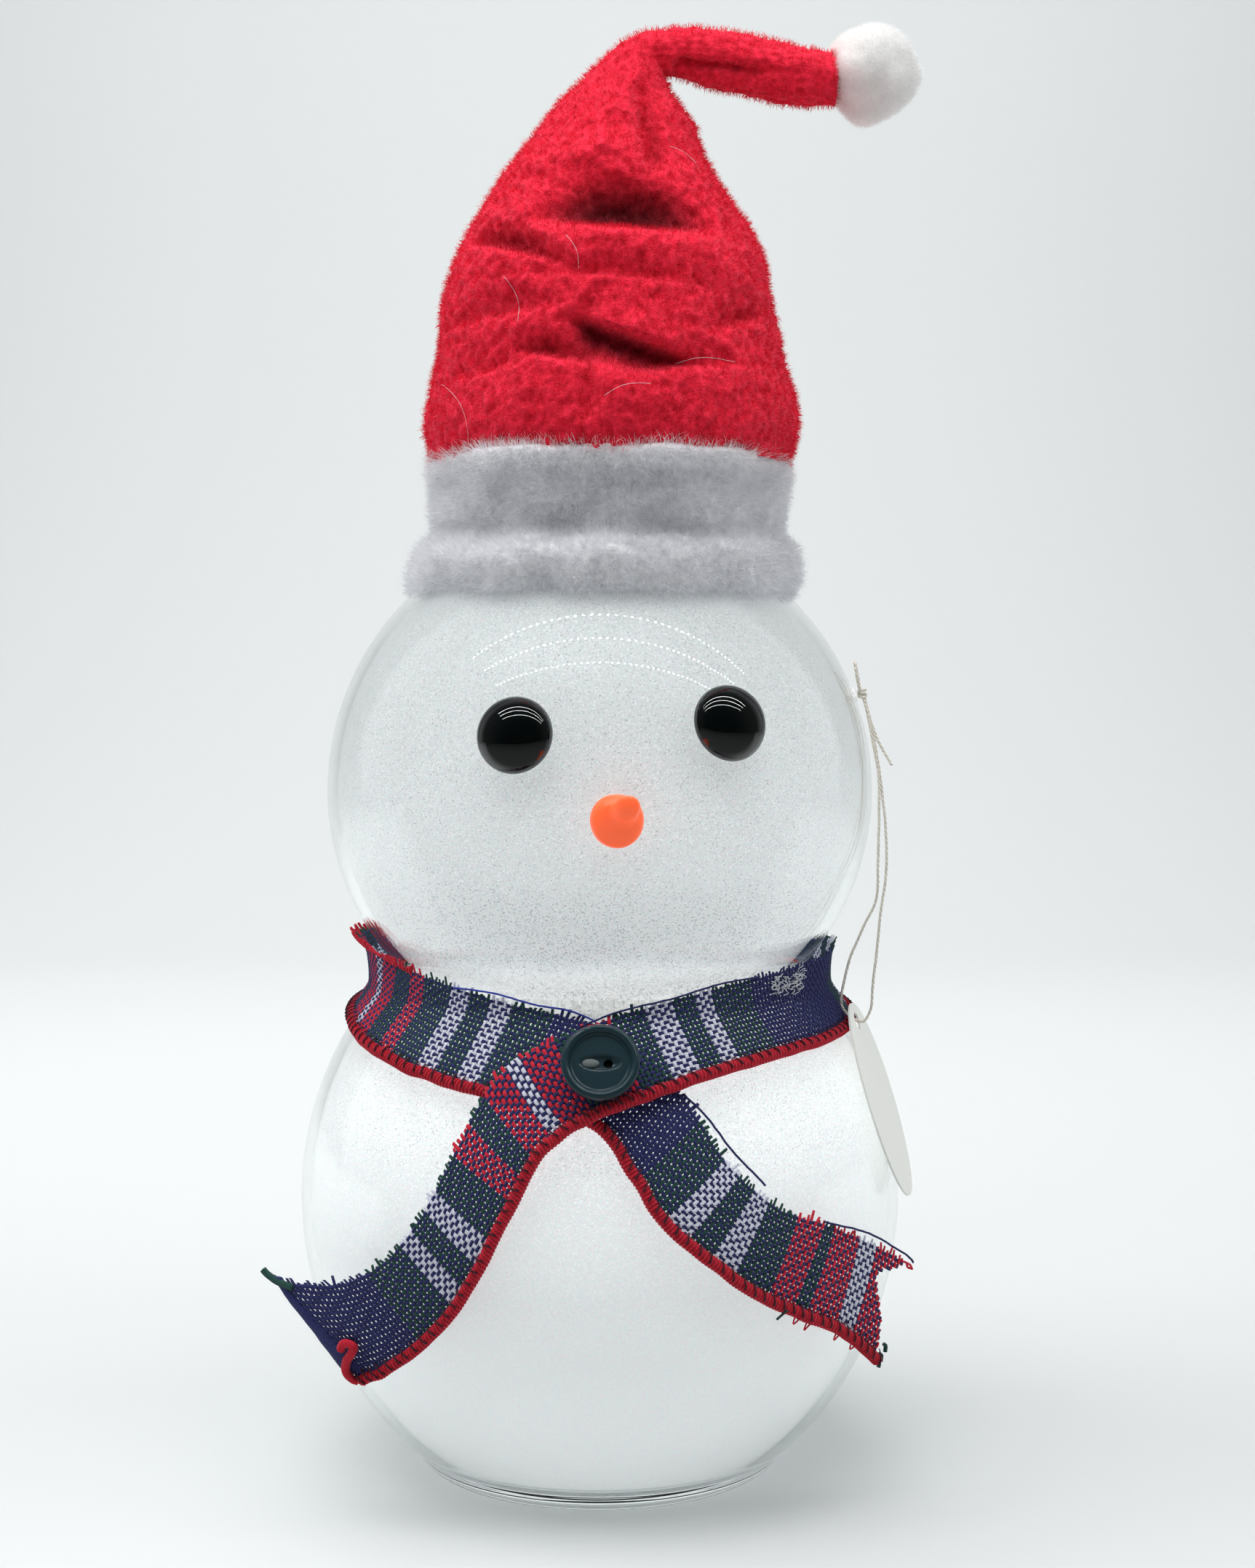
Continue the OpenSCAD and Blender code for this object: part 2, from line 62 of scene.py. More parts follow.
class Shape:
    """Vertices and faces gathered from several parts, each with a material index."""

    def __init__(self):
        self.points = []
        self.faces = []
        self.count = 0

    def add(self, points, faces, slot=0):
        points = np.asarray(points, float).reshape(-1, 3)
        faces = np.asarray(faces, int)
        if len(faces):
            self.faces.append((faces + self.count, slot))
        self.points.append(points)
        self.count += len(points)

    def grid(self, points, slot=0, wrap_rows=False, wrap_columns=False, flip=False):
        """Quads over a (rows, columns, 3) grid of points."""
        rows, columns = points.shape[:2]
        number = np.arange(rows * columns).reshape(rows, columns)
        if wrap_rows:
            number = np.vstack([number, number[:1]])
        if wrap_columns:
            number = np.hstack([number, number[:, :1]])
        quads = np.stack([number[:-1, :-1], number[:-1, 1:], number[1:, 1:], number[1:, :-1]], -1)
        if flip:
            quads = quads[..., ::-1]
        self.add(points, quads.reshape(-1, 4), slot)

    def fan(self, ring, centre, slot=0, flip=False):
        """Triangles from a ring of points to a centre."""
        n = len(ring)
        k = np.arange(n)
        tris = np.stack([k, (k + 1) % n, np.full(n, n)], -1)
        if flip:
            tris = tris[:, ::-1]
        self.add(np.vstack([ring, centre]), tris, slot)

    def capped(self, points, flip=False):
        """A grid of rings, closed at both ends by a fan to the end ring's middle."""
        self.grid(points, wrap_columns=True, flip=flip)
        self.fan(points[0], points[0].mean(0)[None], flip=True)
        self.fan(points[-1], points[-1].mean(0)[None])

    def make(self, name, materials, smooth=True):
        mesh = bpy.data.meshes.new(name)
        points = np.concatenate(self.points) * MM
        mesh.vertices.add(len(points))
        mesh.vertices.foreach_set("co", points.ravel())
        corners = np.concatenate([f.ravel() for f, slot in self.faces])
        sizes = np.concatenate([np.full(len(f), f.shape[1]) for f, slot in self.faces])
        slots = np.concatenate([np.full(len(f), slot) for f, slot in self.faces])
        mesh.loops.add(len(corners))
        mesh.loops.foreach_set("vertex_index", corners)
        mesh.polygons.add(len(sizes))
        mesh.polygons.foreach_set("loop_start", np.concatenate([[0], np.cumsum(sizes)[:-1]]))
        mesh.polygons.foreach_set("loop_total", sizes)
        mesh.polygons.foreach_set("material_index", slots)
        mesh.polygons.foreach_set("use_smooth", np.full(len(sizes), smooth))
        mesh.update(calc_edges=True)
        mesh.validate()
        for material in materials:
            mesh.materials.append(material)
        piece = bpy.data.objects.new(name, mesh)
        bpy.context.scene.collection.objects.link(piece)
        return piece


def weld(piece, distance=0.002):
    """Joins vertices that lie on each other."""
    work = bmesh.new()
    work.from_mesh(piece.data)
    bmesh.ops.remove_doubles(work, verts=work.verts, dist=distance * MM)
    work.to_mesh(piece.data)
    work.free()
    return piece


def through(rows, s):
    """Catmull-Rom values of the rows at fractional indexes s."""
    rows = np.asarray(rows, float)
    s = np.asarray(s, float)
    last = len(rows) - 1
    i = np.clip(np.floor(s).astype(int), 0, last - 1)
    t = (s - i)[..., None]
    a = rows[np.maximum(i - 1, 0)]
    b = rows[i]
    c = rows[i + 1]
    d = rows[np.minimum(i + 2, last)]
    return b + t / 2 * ((c - a) + t * ((2 * a - 5 * b + 4 * c - d) + t * (3 * (b - c) + d - a)))


def curve(rows, steps):
    """Catmull-Rom curve through the rows with steps points in each span."""
    return through(rows, np.linspace(0, len(rows) - 1, (len(rows) - 1) * steps + 1))


def unit(v):
    return v / np.maximum(np.linalg.norm(v, axis=-1, keepdims=True), 1e-9)


def smoothstep(t):
    t = np.clip(t, 0, 1)
    return t * t * (3 - 2 * t)


def polar(azimuth, distance, z):
    """Point at an azimuth in degrees from the front, positive to +X."""
    a = np.radians(azimuth)
    return np.stack(np.broadcast_arrays(distance * np.sin(a), -distance * np.cos(a), z), -1)


def lumps(points, size, seed):
    """Smooth noise from -1 to 1 whose bumps are about size across."""
    place = np.asarray(points, float).reshape(-1, 3) / size + seed * 17.3
    values = [noise.noise(Vector(p)) for p in place]
    return np.array(values).reshape(np.shape(points)[:-1])


def sweep(shape, path, across, up, half_w, half_h, sides=6, slot=0):
    """Tubes with elliptical sections and closed ends. path, across and up are (..., n, 3) arrays."""
    path = path.reshape(-1, *path.shape[-2:])
    across = across.reshape(path.shape)
    up = up.reshape(path.shape)
    angle = np.linspace(0, 2 * np.pi, sides, endpoint=False)
    half_w = np.broadcast_to(half_w, path.shape[:2])[..., None, None]
    half_h = np.broadcast_to(half_h, path.shape[:2])[..., None, None]
    rings = (path[:, :, None] + half_w * np.cos(angle)[:, None] * across[:, :, None]
             + half_h * np.sin(angle)[:, None] * up[:, :, None])
    count, n = path.shape[:2]
    number = np.arange(count * n * sides).reshape(count, n, sides)
    number = np.concatenate([number, number[..., :1]], -1)
    quads = np.stack([number[:, :-1, :-1], number[:, :-1, 1:], number[:, 1:, 1:], number[:, 1:, :-1]], -1)
    shape.add(rings, quads.reshape(-1, 4), slot)
    base = shape.count - count * n * sides
    caps = np.concatenate([number[:, 0, :-1][:, ::-1], number[:, -1, :-1]])
    shape.faces.append((caps + base, slot))


def frames(path, hint=(0, 0, 1)):
    """Two directions square to each other and to a path of points."""
    along = unit(np.gradient(path, axis=-2))
    across = unit(np.cross(along, np.broadcast_to(np.asarray(hint, float), path.shape)))
    return across, np.cross(across, along)


def cord(shape, path, radius, sides=6, slot=0, hint=(0, 0, 1)):
    """Round cord along one path of points."""
    across, up = frames(path, hint)
    sweep(shape, path[None], across[None], up[None], radius, radius, sides, slot)


def turned(profile, steps=72):
    """Grid of points made by turning (radius, z) points about Z."""
    angle = np.linspace(0, 2 * np.pi, steps, endpoint=False)
    profile = np.asarray(profile, float)
    return np.stack([profile[:, :1] * np.cos(angle), profile[:, :1] * np.sin(angle),
                     np.repeat(profile[:, 1:], steps, 1)], -1)


def lathe(shape, profile, capped=False):
    """Surface of revolution about Z, with flat ends if capped."""
    grid = turned(profile, 180)
    shape.grid(grid, wrap_columns=True)
    if capped:
        shape.fan(grid[0], [[0, 0, profile[0, 1]]], flip=True)
        shape.fan(grid[-1], [[0, 0, profile[-1, 1]]])


def fibres(name, base, material, count, length, width, droop=0.5, comb=(0, 0, 0), seed=0):
    """Short bent blades that stand on the faces of a mesh object, for pile and fuzz."""
    local = np.random.default_rng(seed)
    mesh = base.data
    mesh.calc_loop_triangles()
    tris = np.empty(len(mesh.loop_triangles) * 3, int)
    mesh.loop_triangles.foreach_get("vertices", tris)
    tris = tris.reshape(-1, 3)
    co = np.empty(len(mesh.vertices) * 3)
    mesh.vertices.foreach_get("co", co)
    co = co.reshape(-1, 3) / MM
    a, b, c = co[tris[:, 0]], co[tris[:, 1]], co[tris[:, 2]]
    area_vector = np.cross(b - a, c - a)
    area = np.linalg.norm(area_vector, axis=1)
    pick = local.choice(len(tris), count, p=area / area.sum())
    u, v = local.random((2, count, 1))
    swap = u + v > 1
    u, v = np.where(swap, 1 - u, u), np.where(swap, 1 - v, v)
    root = a[pick] + u * (b - a)[pick] + v * (c - a)[pick]
    normal = unit(area_vector[pick])
    loose = local.normal(size=(count, 3)) * 0.6 + np.asarray(comb, float)
    lean = loose - normal * np.sum(loose * normal, 1, keepdims=True)
    reach = length * local.uniform(0.5, 1.15, (count, 1))
    middle = root + reach * (0.55 * normal + 0.2 * droop * lean)
    tip = root + reach * (0.9 * normal + 0.8 * droop * lean)
    side = unit(np.cross(normal, local.normal(size=(count, 3)))) * width / 2
    points = np.stack([root - side, root + side, middle - side * 0.8, middle + side * 0.8, tip], 1)
    first = np.arange(count)[:, None] * 5
    shape = Shape()
    shape.add(points, first + np.array([0, 1, 3, 2]))
    shape.faces.append((first + np.array([2, 3, 4]), 0))
    return shape.make(name, [material])


# ---- Materials ---------------------------------------------------------------

class Shader:
    """A material's nodes. add() takes values or other nodes' sockets as inputs."""

    def __init__(self, name, owner=None):
        self.material = owner or bpy.data.materials.new(name)
        self.material.use_nodes = True
        self.tree = self.material.node_tree
        self.tree.nodes.clear()

    def add(self, kind, inputs=None, **settings):
        node = self.tree.nodes.new("ShaderNode" + kind)
        for key, value in settings.items():
            setattr(node, key, value)
        for key, value in (inputs or {}).items():
            if isinstance(value, bpy.types.NodeSocket):
                self.tree.links.new(value, node.inputs[key])
            else:
                node.inputs[key].default_value = value
        return node.outputs

    def place(self, scale):
        """Object coordinates in millimetres times scale."""
        where = self.add("TexCoord")["Object"]
        return self.add("VectorMath", {0: where, "Scale": scale / MM}, operation="SCALE")["Vector"]

    def noise(self, scale, detail=2.0):
        return self.add("TexNoise", {"Vector": self.place(scale), "Scale": 1.0, "Detail": detail})["Fac"]

    def cells(self, scale):
        """A random colour in each cell of a foam whose cells are 1/scale mm across."""
        return self.add("TexVoronoi", {"Vector": self.place(scale), "Scale": 1.0})["Color"]

    def ramp(self, value, stops):
        out = self.add("ValToRGB", {"Fac": value})
        ramp = out["Color"].node.color_ramp
        while len(ramp.elements) < len(stops):
            ramp.elements.new(0.5)
        for element, (position, color) in zip(ramp.elements, stops):
            element.position = position
            element.color = (*color, 1)
        return out["Color"]

    def fade(self, value, none, full):
        """0 to 1 as the value goes from none to full."""
        return self.add("MapRange", {"Value": value, "From Min": none, "From Max": full})["Result"]

    def math(self, operation, a, b=0.0):
        return self.add("Math", {0: a, 1: b}, operation=operation)["Value"]

    def mix(self, share, a, b):
        return self.add("MixShader", {0: share, 1: a, 2: b})["Shader"]

    def bump(self, height, distance, strength=1.0):
        return self.add("Bump", {"Height": height, "Distance": distance * MM, "Strength": strength})["Normal"]

    def principled(self, color, roughness, **more):
        inputs = {"Base Color": color if isinstance(color, bpy.types.NodeSocket) else (*color, 1),
                  "Roughness": roughness}
        inputs.update({key.replace("_", " "): value for key, value in more.items()})
        return self.add("BsdfPrincipled", inputs)["BSDF"]

    def finish(self, surface):
        self.add("OutputMaterial", {"Surface": surface})
        return self.material


def clear_glass():
    """Clear glass that light for other surfaces passes straight through."""
    s = Shader("clear_glass")
    glass = s.principled((0.955, 0.985, 0.98), 0.0, Transmission_Weight=1.0, IOR=1.47)
    path = s.add("LightPath")
    soft = s.math("MAXIMUM", path["Is Shadow Ray"], path["Is Diffuse Ray"])
    clear = s.add("BsdfTransparent", {"Color": (0.975, 0.99, 0.985, 1)})["BSDF"]
    return s.finish(s.mix(soft, glass, clear))


def glitter_coat():
    """Fine white flakes, a few of them bright, dark, pink or blue, over a thin clear film. The bright and
    dark flakes are painted sparkle: glints and shade of flakes turned towards the light and away from it. The
    coat also glows a little, painted light, more below the head's top and most on the top of the body, where
    the scarf shades it.
    """
    s = Shader("glitter_coat")
    flakes = s.add("SeparateColor", {"Color": s.cells(3.6)})
    z = s.add("SeparateXYZ", {"Vector": s.add("TexCoord")["Object"]})["Z"]
    # More dark flakes, painted shade, in a band low on the head.
    darker_flake_band = s.math("MULTIPLY", s.fade(z, 0.126, 0.139), s.fade(z, 0.156, 0.139))
    even = s.math("MULTIPLY", s.fade(z, 0.09, 0.045), 0.75)
    flake = s.math("SUBTRACT", flakes["Red"], s.math("MULTIPLY", darker_flake_band, 0.15))
    flake = s.math("MULTIPLY", flake, s.math("SUBTRACT", 1.0, even))
    flake = s.math("ADD", flake, s.math("MULTIPLY", even, 0.6))
    # Painted sparkle: the bright flakes are painted glints, the dark ones painted shade.
    flake_tone_and_sparkle = s.ramp(flake, [
        (0.0, (0.45, 0.46, 0.47)), (0.045, (0.66, 0.66, 0.66)), (0.1, (0.77, 0.77, 0.765)),
        (0.62, (0.82, 0.815, 0.81)), (0.86, (0.9, 0.89, 0.885)), (0.97, (1.0, 1.0, 1.0))])
    tint = s.ramp(flakes["Green"], [
        (0.0, (1.0, 0.9, 0.97)), (0.25, (1, 0.985, 1)), (0.6, (0.99, 1, 1)), (1.0, (0.9, 0.99, 1.0))])
    color = s.add("MixRGB", {0: 1.0, 1: flake_tone_and_sparkle, 2: tint}, blend_type="MULTIPLY")["Color"]
    tilt = s.bump(flakes["Blue"], 0.12, 0.8)
    diffuse = s.add("BsdfDiffuse", {"Color": color})["BSDF"]
    through_it = s.add("BsdfTranslucent", {"Color": color})["BSDF"]
    shine = s.add("BsdfGlossy", {"Color": color, "Roughness": 0.25, "Normal": tilt})["BSDF"]
    body = s.mix(0.5, diffuse, through_it)
    body = s.mix(0.1, body, shine)
    # Painted light: the coat glows, more below the head's top and most on the top of the body, where the
    # scarf shades it.
    scarf_shade_glow = s.math("MULTIPLY", s.fade(z, 0.06, 0.095), s.fade(z, 0.142, 0.116))
    strength = s.math("ADD", s.math("MULTIPLY", s.fade(z, 0.215, 0.175), 0.16), 0.13)
    strength = s.math("ADD", strength, s.math("MULTIPLY", scarf_shade_glow, 0.2))
    glow = s.add("Emission", {"Color": color, "Strength": strength})["Emission"]
    body = s.add("AddShader", {0: body, 1: glow})["Shader"]
    open_film = s.add("BsdfTransparent")["BSDF"]
    return s.finish(s.mix(0.2, body, open_film))


def clear_glue():
    s = Shader("clear_glue")
    flakes = s.add("SeparateColor", {"Color": s.cells(1.9)})
    # Painted sparkle: the brightest flecks are painted glints.
    flake_tone_and_sparkle = s.ramp(flakes["Red"], [
        (0.0, (0.55, 0.55, 0.54)), (0.12, (0.74, 0.74, 0.73)), (0.6, (0.84, 0.84, 0.83)), (0.9, (1, 1, 1))])
    dents = s.math("ADD", s.noise(0.8, 3.0), flakes["Blue"])
    glue = s.principled(flake_tone_and_sparkle, 0.12, Coat_Weight=0.6, Normal=s.bump(dents, 0.35))
    film = s.add("BsdfTranslucent", {"Color": flake_tone_and_sparkle})["BSDF"]
    # Painted light: the glue glows a little.
    glow = s.add("Emission", {"Color": flake_tone_and_sparkle, "Strength": 0.2})["Emission"]
    return s.finish(s.add("AddShader", {0: s.mix(0.4, glue, film), 1: glow})["Shader"])


def glue_film():
    """Thin clear glue with flecks of glitter in it. It glows a little, painted light."""
    s = Shader("glue_film")
    flakes = s.add("SeparateColor", {"Color": s.cells(2.6)})
    dents = s.math("ADD", s.noise(0.7, 3.0), flakes["Blue"])
    # Painted light: the emission makes the glue glow.
    glue = s.principled((0.92, 0.92, 0.91), 0.08, Coat_Weight=1.0, Normal=s.bump(dents, 0.5),
                        Emission_Color=(1, 1, 1, 1), Emission_Strength=0.22)
    fleck = s.ramp(flakes["Red"], [(0.0, (0.2, 0.2, 0.2)), (0.7, (0.45, 0.45, 0.45)), (0.9, (1, 1, 1))])
    share = s.math("MULTIPLY", fleck, s.add("Attribute", attribute_name="cover")["Fac"])
    return s.finish(s.mix(share, s.add("BsdfTransparent")["BSDF"], glue))


def gloss(name, color, roughness, **more):
    s = Shader(name)
    return s.finish(s.principled(color, roughness, **more))


def yarn(name, color, pale):
    """Matt spun yarn: fine streaks of a paler shade and a soft sheen."""
    s = Shader(name)
    streak = s.ramp(s.noise(3.5, 3.0), [(0.35, color), (0.75, pale)])
    fibre = s.bump(s.noise(9.0), 0.12)
    return s.finish(s.principled(streak, 0.85, Sheen_Weight=0.08, Specular_IOR_Level=0.2, Normal=fibre))


def pile(name, low, high, glow=0.0, sheen=(1, 1, 1), deep=None, through=0.0):
    """Brushed pile: darker between the tufts and, towards deep, in the folds; both are painted shade. Its
    loose hairs let a share of the light through."""
    s = Shader(name)
    # Painted shade: noise between low and high stands for the shade between the tufts.
    shade = s.ramp(s.noise(0.6, 4.0), [(0.3, low), (0.7, high)])
    # Painted shade: the colour goes towards deep the further the surface sinks into a dent.
    if deep:
        fold = s.fade(s.add("Attribute", attribute_name="fold")["Fac"], 1.5, 9.5)
        shade = s.add("MixRGB", {0: fold, 1: shade, 2: (*deep, 1)})["Color"]
    fibre = s.bump(s.noise(2.2, 3.0), 0.5)
    more = {"Sheen_Weight": 0.35, "Sheen_Tint": (*sheen, 1), "Specular_IOR_Level": 0.2, "Normal": fibre}
    if glow:
        more.update({"Subsurface_Weight": glow, "Subsurface_Radius": (0.004, 0.004, 0.004)})
    surface = s.principled(shade, 0.9, **more)
    if through:
        surface = s.mix(through, surface, s.add("BsdfTranslucent", {"Color": shade})["BSDF"])
    return s.finish(surface)


CLEAR_GLASS = clear_glass()
GLITTER = glitter_coat()
GLUE = clear_glue()
GLUE_FILM = glue_film()
EYE_BLACK = gloss("eye_black", (0.002, 0.003, 0.003), 0.01, Specular_IOR_Level=0.9)
NOSE_ORANGE = gloss("nose_orange", (1.0, 0.13, 0.035), 0.22, Subsurface_Weight=0.2,
                    Subsurface_Radius=(0.003, 0.001, 0.0005), Emission_Color=(1.0, 0.16, 0.07, 1),
                    Emission_Strength=0.32)
BUTTON_TEAL = gloss("button_teal", (0.011, 0.03, 0.038), 0.22, Coat_Weight=0.2, Coat_Roughness=0.12)
# Glue behind the button, seen through its thread holes: clear glue, painted near black as the shade in the
# holes.
SHADED_BUTTON_GLUE = gloss("button_glue_shaded", (0.01, 0.013, 0.014), 0.2)
YARNS = [yarn("yarn_navy", (0.012, 0.014, 0.075), (0.042, 0.05, 0.18)),
         yarn("yarn_green", (0.009, 0.042, 0.036), (0.03, 0.09, 0.074)),
         yarn("yarn_red", (0.52, 0.008, 0.03), (0.74, 0.04, 0.07)),
         yarn("yarn_white", (0.6, 0.61, 0.74), (0.8, 0.81, 0.9))]
BLUE_THREAD = yarn("blue_thread", (0.02, 0.035, 0.3), (0.06, 0.09, 0.5))
PALE_FLUFF = yarn("pale_fluff", (0.5, 0.52, 0.56), (0.8, 0.82, 0.86))
HOLE_GLUE = gloss("hole_glue", (0.13, 0.15, 0.15), 0.12)
NAVY, GREEN, RED, WHITE = range(4)
HEM_RED = yarn("hem_red", (0.4, 0.006, 0.02), (0.64, 0.02, 0.045))
HEM_DARK = yarn("hem_dark", (0.03, 0.006, 0.012), (0.08, 0.015, 0.03))
# deep is the painted shade colour for the insides of the hat's dents.
RED_TONES = {"low": (0.58, 0.003, 0.018), "high": (0.95, 0.022, 0.062), "sheen": (1.0, 0.25, 0.38),
             "deep": (0.14, 0.0, 0.003)}
RED_FLEECE = pile("red_fleece", **RED_TONES)
RED_FUZZ = pile("red_fuzz", **RED_TONES, through=0.4)
WHITE_PLUSH = pile("white_plush", (0.66, 0.66, 0.69), (0.86, 0.86, 0.88), 0.2)
PLUSH_FUZZ = pile("plush_hairs", (0.8, 0.8, 0.83), (0.94, 0.94, 0.96), through=0.5)
COTTON = pile("cotton", (0.93, 0.92, 0.9), (1.0, 0.99, 0.98), 0.3)
COTTON_FUZZ = pile("cotton_hairs", (0.97, 0.96, 0.95), (1.0, 1.0, 1.0), through=0.5)
TWINE = yarn("jute_twine", (0.88, 0.82, 0.72), (1.0, 0.97, 0.9))
CARD = gloss("tag_card", (0.84, 0.85, 0.81), 0.7)
FILL = pile("polyester_fill", (0.8, 0.8, 0.78), (0.92, 0.92, 0.9))
WIRE = gloss("craft_wire", (0.8, 0.8, 0.8), 0.2, Metallic=1.0)


def keep_hidden_nodes():
    """Materials for the CAD nodes that stay as they are, out of sight inside others."""
    for name, material in (("eye_glue", GLUE), ("nose_glue", GLUE), ("button_glue", SHADED_BUTTON_GLUE),
                           ("twine_glue", GLUE), ("tip_wire", WIRE)):
        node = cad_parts[name]
        node.data.materials.clear()
        node.data.materials.append(material)


def settle(piece, body, slot, *nodes):
    """The piece rides a body and stands for CAD nodes, which are hidden. The slot argument is not used."""
    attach(piece, body)
    if nodes:
        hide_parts(*nodes)
    return piece


# ---- Bowls -------------------------------------------------------------------

class Bowl:
    """A bowl's outside: a sphere drawn out by up above its middle and down below it."""

    def __init__(self, node, mid, up, down):
        self.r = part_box(node)[1].x / MM
        self.mid = mid
        self.up = self.r * up
        self.down = self.r * down

    def radius(self, z, inset=0.0):
        z = np.asarray(z, float)
        s = (z - self.mid) / (np.where(z > self.mid, self.up, self.down) - inset)
        return (self.r - inset) * np.sqrt(np.maximum(1 - s * s, 0))

    def wall(self, inset, low, high, steps=90):
        """(radius, z) points of the wall, spaced by angle."""
        ends = []
        for z in (low, high):
            half = (self.up if z > self.mid else self.down) - inset
            ends.append(math.asin((z - self.mid) / half))
        a = np.linspace(*ends, steps)
        half = np.where(a > 0, self.up, self.down) - inset
        return np.stack([(self.r - inset) * np.cos(a), self.mid + half * np.sin(a)], -1)


GLASS_WALL = 2.5
BODY_FLOOR = 7.0
BODY_MOUTH_Z = 124.8
HEAD_BASE_Z = 119.3
HEAD_FLOOR = 4.2
HEAD_MOUTH_Z = 227.4
RIM_R = 1.35
FOOT_ROUND = 2.5
COAT_GAP, COAT_T = 0.15, 0.35
body_bowl = Bowl("body_bowl", 68.6, 1.035, 1.09)
head_bowl = Bowl("head_bowl", 172.3, 0.996, 0.964)


def glass_radius(z):
    return np.maximum(body_bowl.radius(z), head_bowl.radius(z))


def round_rim(bowl, mouth_z, steps=14):
    """Fire-polished rim between the outer wall and the inner one."""
    a = np.linspace(-0.35, math.pi + 0.35, steps)
    middle = bowl.radius(mouth_z) - GLASS_WALL / 2
    return np.stack([middle + RIM_R * np.cos(a), mouth_z + RIM_R * np.sin(a)], -1)


def make_body_bowl():
    corner = np.radians(np.linspace(-90, -12, 12))
    foot_r = float(body_bowl.radius(FOOT_ROUND)) - FOOT_ROUND
    foot = np.stack([foot_r + FOOT_ROUND * np.cos(corner), FOOT_ROUND * (1 + np.sin(corner))], -1)
    inner = body_bowl.wall(GLASS_WALL, BODY_FLOOR, BODY_MOUTH_Z)
    outer = body_bowl.wall(0, FOOT_ROUND + 0.8, BODY_MOUTH_Z, 140)[:-1]
    outer[:, 0] -= 0.7 * np.exp(-((outer[:, 1] - 5.6) / 1.3) ** 2)
    profile = np.vstack([
        [[0.25 * foot_r, 0], [0.7 * foot_r, 0]], foot, outer,
        round_rim(body_bowl, BODY_MOUTH_Z), inner[::-1][1:], [[0.3 * foot_r, BODY_FLOOR]]])
    shape = Shape()
    lathe(shape, profile, capped=True)
    return settle(weld(shape.make("glass_body", [CLEAR_GLASS])), "bowls", "clear_glass", "body_bowl")


def make_head_bowl():
    base_r = float(head_bowl.radius(HEAD_BASE_Z))
    inner = head_bowl.wall(GLASS_WALL, HEAD_BASE_Z + HEAD_FLOOR, HEAD_MOUTH_Z)
    profile = np.vstack([
        [[0.4 * base_r, HEAD_BASE_Z]], head_bowl.wall(0, HEAD_BASE_Z, HEAD_MOUTH_Z)[:-1],
        round_rim(head_bowl, HEAD_MOUTH_Z), inner[::-1][1:], [[0.4 * base_r, HEAD_BASE_Z + HEAD_FLOOR]]])
    shape = Shape()
    lathe(shape, profile, capped=True)
    return settle(weld(shape.make("glass_head", [CLEAR_GLASS])), "bowls", "clear_glass", "head_bowl")


def make_lining(name, node, bowl, low, high):
    """Coat of glitter on the inside of a bowl: an outer and an inner face, open at the ends."""
    shape = Shape()
    lathe(shape, bowl.wall(GLASS_WALL + COAT_GAP, low, high))
    lathe(shape, bowl.wall(GLASS_WALL + COAT_GAP + COAT_T, low, high)[::-1])
    return settle(shape.make(name, [GLITTER]), "bowls", "glitter_coat", node)


def make_neck_glue():
    """Lumpy bead of glue and glitter in the groove between the bowls."""
    angle = np.linspace(0, 2 * np.pi, 260, endpoint=False)
    turn = np.linspace(0, 2 * np.pi, 12, endpoint=False)
    low, high = HEAD_BASE_Z + 0.3, BODY_MOUTH_Z + 0.6
    middle_z = (low + high) / 2
    mid_r = (float(head_bowl.radius(middle_z)) + float(body_bowl.radius(middle_z)) - GLASS_WALL) / 2
    wide = mid_r - float(head_bowl.radius(middle_z)) - 0.2
    r = mid_r + wide * np.cos(turn)[:, None] + 0 * angle
    z = middle_z + (high - low) / 2 * np.sin(turn)[:, None] + 0 * angle
    points = np.stack([r * np.cos(angle), r * np.sin(angle), z], -1)
    points[..., 2] += 0.25 * lumps(points, 3.0, 5)
    shape = Shape()
    shape.grid(points, wrap_rows=True, wrap_columns=True, flip=True)
    settle(shape.make("neck_glue_bead", [GLUE]), "bowls", "clear_glue", "neck_glue")


def make_glue_film(az0=-34, az1=52, z0=122.0, z1=136.5, thick=1.5):
    """Lumpy film of glue on the front of the head's wall, thinning out to its edges."""
    az, share = np.meshgrid(np.linspace(az0, az1, 150), np.linspace(0, 1, 36))
    ragged = lumps(np.stack([az / 4, 0 * az, 0 * az], -1), 1, 43) * 3.2
    z = z0 + share * (z1 - z0 - 2.5 + ragged)
    cover = smoothstep(np.minimum(az - az0, az1 - az) / 12) * smoothstep((1 - share) * 2.2)
    wall = polar(az, head_bowl.radius(z) + 0.05, z)
    lump = 0.55 + 0.7 * lumps(wall, 3.4, 41) + 0.45 * lumps(wall, 1.5, 42)
    film = polar(az, head_bowl.radius(z) + 0.1 + thick * cover * np.maximum(lump, 0), z)
    shape = Shape()
    shape.grid(np.vstack([film, wall[::-1]]), wrap_rows=True)
    piece = shape.make("neck_glue_film", [GLUE_FILM])
    values = piece.data.attributes.new("cover", "FLOAT", "POINT")
    values.data.foreach_set("value", np.vstack([cover, cover[::-1]]).ravel())
    settle(piece, "bowls", "clear_glue")


# ---- Face ----------------------------------------------------------------------

def on_head(points, az, el, lift):
    """Points whose +Z is outwards, set on the head at an azimuth and elevation in degrees."""
    a, e = math.radians(az), math.radians(el)
    out = np.array([math.sin(a) * math.cos(e), -math.cos(a) * math.cos(e), math.sin(e)])
    across = np.array([math.cos(a), math.sin(a), 0])
    up = np.cross(out, across)
    start = np.array([0, 0, head_bowl.mid]) + out * (head_bowl.r + lift)
    return start + points[..., :1] * across + points[..., 1:2] * up + points[..., 2:] * out


